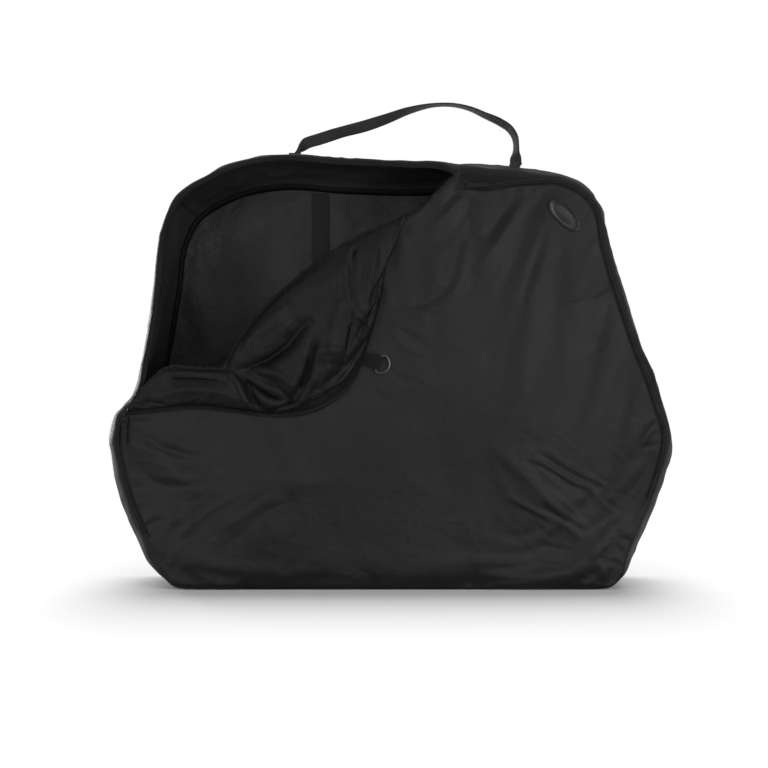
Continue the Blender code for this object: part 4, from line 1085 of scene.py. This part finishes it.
def flap_surface():
    """Outer face of the folded corner, as a grid from its fold to its free edge."""
    rows = flap_rows()
    section = smooth(FLAP_SECTION, 0.02)
    marks = marks_along(section)
    along, forward = read_rows(np.linspace(0.0, marks[-1], FLAP_COLUMNS), marks, section).T
    flat = rows[:, None, :2] * (1.0 - along)[None, :, None] + rows[:, None, 2:4] * along[None, :, None]
    lift = CLOTH * 1.6 + 0.0012 + forward[None, :] * rows[:, 4][:, None]
    steps = np.arange(FLAP_COLUMNS) / (FLAP_COLUMNS - 1.0)
    window = np.clip((steps - 0.10) / 0.14, 0.0, 1.0)[None, :]
    tail = np.clip((1.0 - along) / 0.08, 0.0, 1.0)[None, :]
    places = flat.reshape(-1, 2)
    p = flat3(places)
    relief = 2.0 * folds(places, FLAP_FOLDS) + 0.0030 * rough(p, (0.050, 1.0, 0.050), 71)
    gathers = 0.5 - np.abs(noise(p, (0.012, 1.0, 0.055), 77))
    upper = np.clip((p[:, 2] - 0.50) / 0.14, 0.0, 1.0)
    relief = (relief + 0.0042 * gathers * upper).reshape(lift.shape) * window * (0.25 + 0.75 * tail)
    lift = np.maximum(lift + relief, CLOTH + FLAP_CLEAR)
    grid = np.stack((flat[..., 0], Y_MID - flap_floor(flat) - lift, flat[..., 1]), axis=-1)
    grid = grid + flap_slack(grid)
    grid[..., 1] = np.minimum(grid[..., 1], Y_MID - flap_floor(grid[..., [0, 2]]) - CLOTH - FLAP_CLEAR)
    return grid


def flap_floor(flat):
    """How far the front panel's inner face lies from the middle plane, under each place."""
    places = flat.reshape(-1, 2)
    depth = front.out(places) + np.maximum(front_relief(places), -0.001) * 0.7
    return depth.reshape(flat.shape[:-1])


def flap_slack(grid, most=0.008):
    """Movement of the folded corner's cloth once it hangs between its fold and its free edge."""
    rows, columns = grid.shape[:2]
    ends = np.minimum(np.arange(rows), np.arange(rows)[::-1])[:, None] * FLAP_STEP
    sides = np.minimum(np.arange(columns), np.arange(columns)[::-1])[None, :] / 7.0
    pins = np.maximum(np.clip(1.2 - ends / 0.012, 0.0, 1.0), np.clip(1.2 - sides, 0.0, 1.0))
    moved = slackened(grid.reshape(-1, 3), grid_faces(rows, columns), pins.ravel(),
                      grow=0.04, frames=16, bend=0.1)
    reach = np.linalg.norm(moved, axis=1)
    moved *= (most * np.tanh(reach / most) / np.maximum(reach, 1e-9))[:, None]
    return moved.reshape(grid.shape)


def grid_normals(grid):
    """Direction square to a grid of points, at each of them."""
    normal = np.cross(np.gradient(grid, axis=0), np.gradient(grid, axis=1))
    return normal / np.maximum(np.linalg.norm(normal, axis=2, keepdims=True), 1e-9)


flap_grid = flap_surface()
flap_inside = flap_grid - grid_normals(flap_grid) * FLAP_THICK
flap_cloth = sheet_mesh("flap_cloth", flap_grid, flap_inside, LINING, body=None)
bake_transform(flap_cloth)
dress(flap_cloth, "front_flap")


# Carry handle

# Rows along the strap, in pixels: its middle, and half its width across and down as it shows
HANDLE_ROWS = [
    (295.6, 156.4, 4.6, 0.0), (298.6, 151.6, 2.0, -0.5), (301.6, 146.8, 0.8, 4.4),
    (306.0, 143.6, 1.6, 5.9), (320.0, 139.0, 2.0, 5.6), (340.0, 132.6, 1.7, 4.9),
    (365.0, 126.0, 1.6, 5.2), (385.0, 119.4, 1.5, 4.3), (409.0, 110.6, 0.9, 2.5),
    (436.0, 105.0, 0.1, 0.8), (455.0, 105.3, 0.0, 0.8), (470.0, 108.8, -0.3, 1.2),
    (485.0, 115.4, -0.8, 1.9), (500.0, 122.2, -1.3, 2.5), (510.0, 129.2, -1.9, 2.0),
    (515.0, 137.5, -2.4, 0.7), (516.2, 146.0, -2.2, 0.0), (516.0, 153.0, -3.0, 0.0),
    (515.7, 158.5, -5.4, 0.0), (515.6, 163.2, -5.8, 0.0),
]
WEB_HALF = 0.0120
WEB_THICK = 0.0022
# The strap's cross-section, in halves of its width and thickness
WEB_RING = ((-1, -0.55), (-0.97, -1), (-0.5, -0.86), (0, -1), (0.5, -0.86), (0.97, -1), (1, -0.55),
            (1, 0.55), (0.97, 1), (0.5, 0.86), (0, 1), (-0.5, 0.86), (-0.97, 1), (-1, 0.55))


def handle():
    """The carry handle's strap, which twists so that its width is what the photograph shows."""
    rows = np.array(HANDLE_ROWS, float)
    centre = place_px(rows[:, :2], Y_MID)
    scale = (Y_MID - EYE.y) * PIXEL
    half = np.stack((rows[:, 2] * scale, -rows[:, 3] * scale), axis=1)
    deep = np.sqrt(np.maximum(WEB_HALF ** 2 - (half ** 2).sum(axis=1), 0.0))
    path = smooth(np.column_stack((centre, half, deep)), 0.004)
    middle = flat3(path[:, :2], Y_MID)
    wide = np.stack((path[:, 2], path[:, 4], path[:, 3]), axis=1)
    wide *= (WEB_HALF / np.linalg.norm(wide, axis=1))[:, None]
    ahead = np.gradient(middle, axis=0)
    thick = np.cross(ahead, wide)
    thick *= (WEB_THICK / 2 / np.linalg.norm(thick, axis=1))[:, None]
    lines = [middle + wide * across + thick * out for across, out in WEB_RING]
    dress(bar_mesh("handle_webbing", lines, STRAP, "handle"), "carry_handle")


def anchor(name, node, share, half=0.011, reach=0.255):
    """Webbing sewn across the top of the bag under an end of the handle."""
    places = share * wall.length + np.linspace(-half, half, 9)
    grid_place, grid_across = np.meshgrid(places, np.linspace(-reach, reach, 33), indexing="ij")
    rise = 0.0006 * np.cos(np.abs(grid_across) / reach * math.pi * 2)
    outer = wall.point(grid_place, grid_across, 0.0036 + rise)
    inner = wall.point(grid_place, grid_across, 0.0006)
    dress(sheet_mesh(name, outer, inner, STRAP), node)


handle()
anchor("anchor_webbing_left", "handle_anchor_left", 0.3385)
anchor("anchor_webbing_right", "handle_anchor_right", 0.4688)


# Zip

# How far in from the seam lie the closed zip and the teeth of the open half on the wall, and how far a tape
# is sunk into the cloth
ZIP_INSET = 0.009
TEETH_INSET = 0.0080
TAPE_SUNK = 0.0006
TAPE_WIDTH = 0.012
TAPE_THICK = 0.0012
HALF_TAPE_THICK = 0.0016
COIL_SIDES = 6
COIL_RADIUS = 0.0022
COIL_STEP = 0.001
TOOTH_RADIUS = 0.0016


def on_panel(flat, level):
    """Points over places of the front panel, by their level above its inner face."""
    return flat3(flat, Y_MID - front.out(flat) - level - np.maximum(front_relief(flat), -SEAM_DIP))


def coil_mesh(name, line, across, radius, ripple=0.25, stretch=1.2, body="bag"):
    """Raised coil of a zip along a line of points, with a ridge at every third point."""
    swell = radius * (1.0 - ripple + ripple * np.cos(np.arange(len(line)) * math.tau / 3))
    lines = []
    for k in range(COIL_SIDES):
        angle = math.pi * k / (COIL_SIDES - 1)
        edge = line + across * (swell * stretch * math.cos(angle))[:, None]
        edge[:, 1] -= swell * math.sin(angle)
        lines.append(edge)
    return bar_mesh(name, lines, COIL, body)


def closed_zip(side, start, end):
    """A closed run of the zip on the front panel."""
    places = wall.places(start, end, 0.005)
    rows = wall.at(places)
    path = wall.seam(places, -1, ZIP_INSET)
    inward = rows[:, 4:6] / np.linalg.norm(rows[:, 4:6], axis=1)[:, None]
    low = CLOTH - TAPE_SUNK
    high = low + TAPE_THICK
    lines = [on_panel(path + inward * way * TAPE_WIDTH / 2, level)
             for way, level in ((-1, low), (1, low), (1, high), (-1, high))]
    tape = bar_mesh("zip_tape_" + side, lines, TAPE, sharp=40)
    marks = marks_along(path)
    at = np.linspace(0.0, marks[-1], int(marks[-1] / COIL_STEP))
    line = on_panel(read_rows(at, marks, path), CLOTH + 0.0004)
    coil = coil_mesh("zip_coil_" + side, line, flat3(read_rows(at, marks, inward)), COIL_RADIUS,
                     ripple=0.20, stretch=1.3)
    dress(tape, "zip_" + side)


def gusset_zip():
    """The open half of the zip on the side wall."""
    places = wall.places(OPEN_START + 0.012, OPEN_END - 0.007, 0.005)
    outer, inner = wall.seam(places, -1), wall.seam(places, -1, ZIP_INSET)
    back_y = Y_MID - DEPTH / 2 + TAPE_SUNK
    front_y = back_y - HALF_TAPE_THICK
    lines = [flat3(outer, back_y), flat3(inner, back_y), flat3(inner, front_y), flat3(outer, front_y)]
    tape = bar_mesh("zip_tape_wall", lines, TAPE, sharp=40)
    at = np.linspace(places[0], places[-1], int((places[-1] - places[0]) / COIL_STEP))
    line = flat3(wall.seam(at, -1, TEETH_INSET), front_y)
    teeth = coil_mesh("zip_teeth_wall", line, flat3(wall.at(at)[:, 4:6]), TOOTH_RADIUS)
    dress(tape, "zip_half_gusset")


def flap_zip():
    """The open half of the zip on the folded corner's free edge."""
    edge = flap_grid[:, -1]
    out = edge - flap_grid[:, -4]
    out[:, 1] = 0.0
    out /= np.linalg.norm(out, axis=1)[:, None]
    lines = [edge + out * reach + (0.0, level, 0.0)
             for reach, level in ((-0.003, 0.0006), (0.009, 0.0006), (0.009, -0.0008), (-0.003, -0.0008))]
    tape = bar_mesh("zip_tape_flap", lines, TAPE, body=None, sharp=40)
    line = edge + out * 0.0085
    marks = marks_along(line)
    at = np.linspace(0.0, marks[-1], int(marks[-1] / COIL_STEP))
    line = read_rows(at, marks, line) - (0.0, 0.0006, 0.0)
    teeth = coil_mesh("zip_teeth_flap", line, read_rows(at, marks, out), TOOTH_RADIUS, body=None)
    for item in (tape, teeth):
        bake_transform(item)
    dress(tape, "zip_half_flap")


closed_zip("right", OPEN_END, ZIP_RIGHT_END)
closed_zip("left", ZIP_LEFT_END, OPEN_START)
gusset_zip()
flap_zip()


# Ring tab and badge

def tab():
    """Webbing folded round the ring's bar."""
    # Middle of the bar, and the directions along it, away from the ring, and out of the panel
    bar = np.array((-0.02322, -0.11165, 0.44282))
    x = np.array((0.3988, 0.0, 0.9170))
    y = np.array((-0.9170, 0.0, 0.3988))
    z = np.array((0.0, -1.0, 0.0))
    turn = np.linspace(0.0, math.pi, 13)
    sides = np.linspace(-0.014, 0.014, 9)
    grids = []
    for radius, taper in ((0.0037, 0.8), (0.0021, 0.6)):
        line = [(0.024, radius * taper), (0.012, radius)]
        line += [(-radius * math.sin(a), radius * math.cos(a)) for a in turn]
        line += [(0.012, -radius), (0.020, -radius)]
        grids.append(np.array([[bar + x * s + y * b + z * c for s in sides] for b, c in line]))
    dress(sheet_mesh("ring_tab_webbing", *grids, TAB, "flap"), "d_ring_tab")


def badge():
    """Oval badge with a raised rim round a bare middle."""
    middle = np.array((0.300 * WIDTH, 0.848 * HEIGHT))
    turn = math.radians(-45.0)
    long_way = np.array((math.cos(turn), math.sin(turn)))
    short_way = np.array((-math.sin(turn), math.cos(turn)))
    profile = [(1.0, -0.0012), (1.0, 0.0016), (0.985, 0.0026), (0.955, 0.0031), (0.91, 0.0031),
               (0.88, 0.0026), (0.865, 0.0017), (0.84, 0.0013), (0.6, 0.0016), (0.3, 0.0019), (0.02, 0.0020)]
    count, half_long, half_short = 72, 0.040, 0.0175
    angles = np.arange(count)[:, None] / count * math.tau
    oval = np.cos(angles) * long_way * half_long + np.sin(angles) * short_way * half_short
    rings = []
    for share, height in profile:
        flat = middle + oval * share
        rings.append(flat3(flat, Y_MID - front.out(flat) - CLOTH - 0.0006 - height))
    dress(tube_mesh("badge_moulding", rings, RUBBER), "rubber_badge")


tab()
badge()


# Inside

STRAP_HALF = 0.018
STRAP_THICK = 0.002


def back_strip(name, node, low, high):
    """A run of the inner strap, lying on the back wall."""
    count = int((high - low) / 0.008)
    zs = np.linspace(low, high, count + 1)
    lines = []
    for share, level in ((-1, 0), (1, 0), (1, 0.7), (0.94, 1), (0, 0.85), (-0.94, 1), (-1, 0.7)):
        flat = np.stack((np.full(count + 1, STRAP_X + share * STRAP_HALF), zs), axis=1)
        sway = 0.0012 * noise(flat3(flat), (1.0, 1.0, 0.09), 91)
        lines.append(flat3(flat, Y_MID + back.out(flat) - 0.0012 - level * STRAP_THICK - np.abs(sway)))
    dress(bar_mesh(name, lines, STRAP_UP, sharp=50), node)


def binding(name, node, side, start, end, closed):
    """Tape over an inner seam."""
    places = wall.places(start, end, 0.008)
    if closed:
        places = places[:-1]
    grid_place, grid_across = np.meshgrid(places, side * np.array((0.985, 0.94, 0.89)), indexing="ij")
    arch = np.array((0.0, 0.0008, 0.0))[None, :]
    outer = wall.point(grid_place, grid_across, -CLOTH - 0.0030)
    inner = wall.point(grid_place, grid_across, -CLOTH - 0.0048 - arch)
    dress(sheet_mesh(name, outer, inner, TAPE, closed=closed), node)


def foam_pad(corner=0.02):
    """Foam pad with rounded corners, the size of its solid."""
    low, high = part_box("base_pad")
    rings = []
    for z, inset in ((low.z, 0.002), (low.z + 0.002, 0.0), (high.z - 0.003, 0.0), (high.z, 0.004)):
        ring = []
        for k in range(4):
            cx = (high.x - corner - inset) if k in (0, 3) else (low.x + corner + inset)
            cy = (high.y - corner - inset) if k in (0, 1) else (low.y + corner + inset)
            for a in np.linspace(k * math.pi / 2, (k + 1) * math.pi / 2, 6):
                ring.append((cx + corner * math.cos(a), cy + corner * math.sin(a), z))
        rings.append(ring)
    item = tube_mesh("foam_pad", rings, FOAM, sharp=50)
    dress(item, "base_pad")


back_strip("strap_webbing", "wheel_strap", 0.286, 0.8025)
back_strip("strap_foot_webbing", "strap_foot", 0.1295, 0.2478)
binding("binding_tape_back", "back_binding", 1, 0.0, 1.0, True)
binding("binding_tape_front", "front_binding", -1, OPEN_END + 0.004, 0.996 + OPEN_START, False)
foam_pad()

# Solids that stay as they are, with their materials
KEPT = {
    "slider_right": DARK_METAL, "slider_left": DARK_METAL, "pull_tab_right": DARK_METAL,
    "pull_tab_left": DARK_METAL, "zip_stop_right": DARK_METAL, "zip_stop_left": DARK_METAL,
    "d_ring": GREY_METAL, "ladder_lock": PLASTIC, "base_board": BOARD,
}
for node, material in KEPT.items():
    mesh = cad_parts[node].data
    mesh.materials.clear()
    mesh.materials.append(material)


# Floor, backdrop, light and camera

def stage_material():
    """White floor that keeps the object's shadow and fades to plain white round it."""
    n = Surface("white_floor")
    n.set(Base_Color=(0.80, 0.80, 0.80, 1.0), Roughness=0.9, Specular_IOR_Level=0.0)
    seen = n.seen()
    split = n.node("ShaderNodeSeparateXYZ", {0: n.place})
    away = []
    for axis, half, stretch in (("X", FOOT[0], FADE_X), ("Y", FOOT[1], 1.0)):
        reach = n.math("SUBTRACT", n.math("ABSOLUTE", split.outputs[axis]), half)
        reach = n.math("MULTIPLY", n.math("MAXIMUM", reach, 0.0), stretch)
        away.append(n.math("POWER", reach, 2.0))
    share = n.range(n.math("SQRT", n.math("ADD", *away)), FADE[0], FADE[1], 0.0, 1.0)
    glow = n.node("ShaderNodeEmission")
    both = n.node("ShaderNodeMixShader", {0: n.math("MULTIPLY", seen, share), 1: n.shader.outputs[0],
                                          2: glow.outputs[0]})
    n.feed(n.tree.nodes["Material Output"].inputs["Surface"], both.outputs[0])
    return n.owner


def stage():
    """The floor, a hair under the bag."""
    corners = [(x * FLOOR, y * FLOOR, -0.0006) for x, y in ((-1, -1), (1, -1), (1, 1), (-1, 1))]
    add_mesh("floor", corners, [(0, 1, 2, 3)], stage_material(), None)


# Lamps: name, place, target, size, power in watts, and whether glossy cloth mirrors them
LAMPS = (
    ("top", (0.0, 0.75, 2.7), (0.0, 0.0, 0.2), (2.2, 1.4), 46.0, False),
    ("key", (1.2, -3.0, 1.7), (0.0, 0.0, 0.4), (0.9, 0.9), 8.0, True),
    ("fill", (-2.4, -2.3, 1.3), (0.0, 0.0, 0.4), (1.2, 1.6), 10.0, False),
    ("front", (0.3, -3.6, 0.75), (0.0, 0.0, 0.5), (1.6, 0.7), 9.0, False),
    ("right_strip", (2.1, -2.5, 1.0), (0.1, 0.0, 0.4), (0.45, 1.7), 45.0, True),
    ("left_strip", (-2.2, -2.5, 0.8), (-0.1, 0.0, 0.4), (0.4, 1.4), 26.0, True),
    ("right_low", (1.32, -2.33, 0.18), (0.42, -0.1, 0.12), (0.35, 0.3), 11.0, True),
    ("left_low", (-1.30, -2.30, 0.18), (-0.35, -0.1, 0.12), (0.35, 0.3), 6.0, True),
    ("rear", (0.8, 3.0, 1.4), (0.0, 0.0, 0.4), (2.0, 1.2), 36.0, False),
    ("rear_strip", (-1.9, 2.4, 0.7), (0.0, 0.2, 0.4), (0.5, 1.0), 40.0, True),
)


def area_light(name, place, target, size, power, mirrored):
    """A rectangular lamp at a place, turned to its target."""
    lamp = bpy.data.lights.new(name, "AREA")
    lamp.shape = "RECTANGLE"
    lamp.size, lamp.size_y = size
    lamp.energy = power
    item = bpy.data.objects.new(name, lamp)
    item.location = place
    item.visible_glossy = mirrored
    item.rotation_euler = (Vector(target) - Vector(place)).to_track_quat("-Z", "Y").to_euler()
    bpy.context.collection.objects.link(item)


def light():
    """The lamps, and a world that is white to the camera and in mirrors but lights with less."""
    for lamp in LAMPS:
        area_light(*lamp)
    world = bpy.data.worlds.new("studio")
    bpy.context.scene.world = world
    n = Nodes(world)
    shade = n.tree.nodes["Background"].inputs
    shade["Color"].default_value = (1.0, 1.0, 1.0, 1.0)
    n.feed(shade["Strength"], n.range(n.seen(), 0.0, 1.0, SKY, 1.0))


def camera():
    """The photograph's camera: level, and straight in front."""
    lens = bpy.data.cameras.new("camera")
    lens.lens = LENS
    lens.sensor_width = SENSOR
    item = bpy.data.objects.new("camera", lens)
    item.location = EYE
    item.rotation_euler = (math.radians(90.0), 0.0, 0.0)
    bpy.context.collection.objects.link(item)
    bpy.context.scene.camera = item


stage()
light()
camera()
bpy.context.scene.view_settings.view_transform = "Standard"
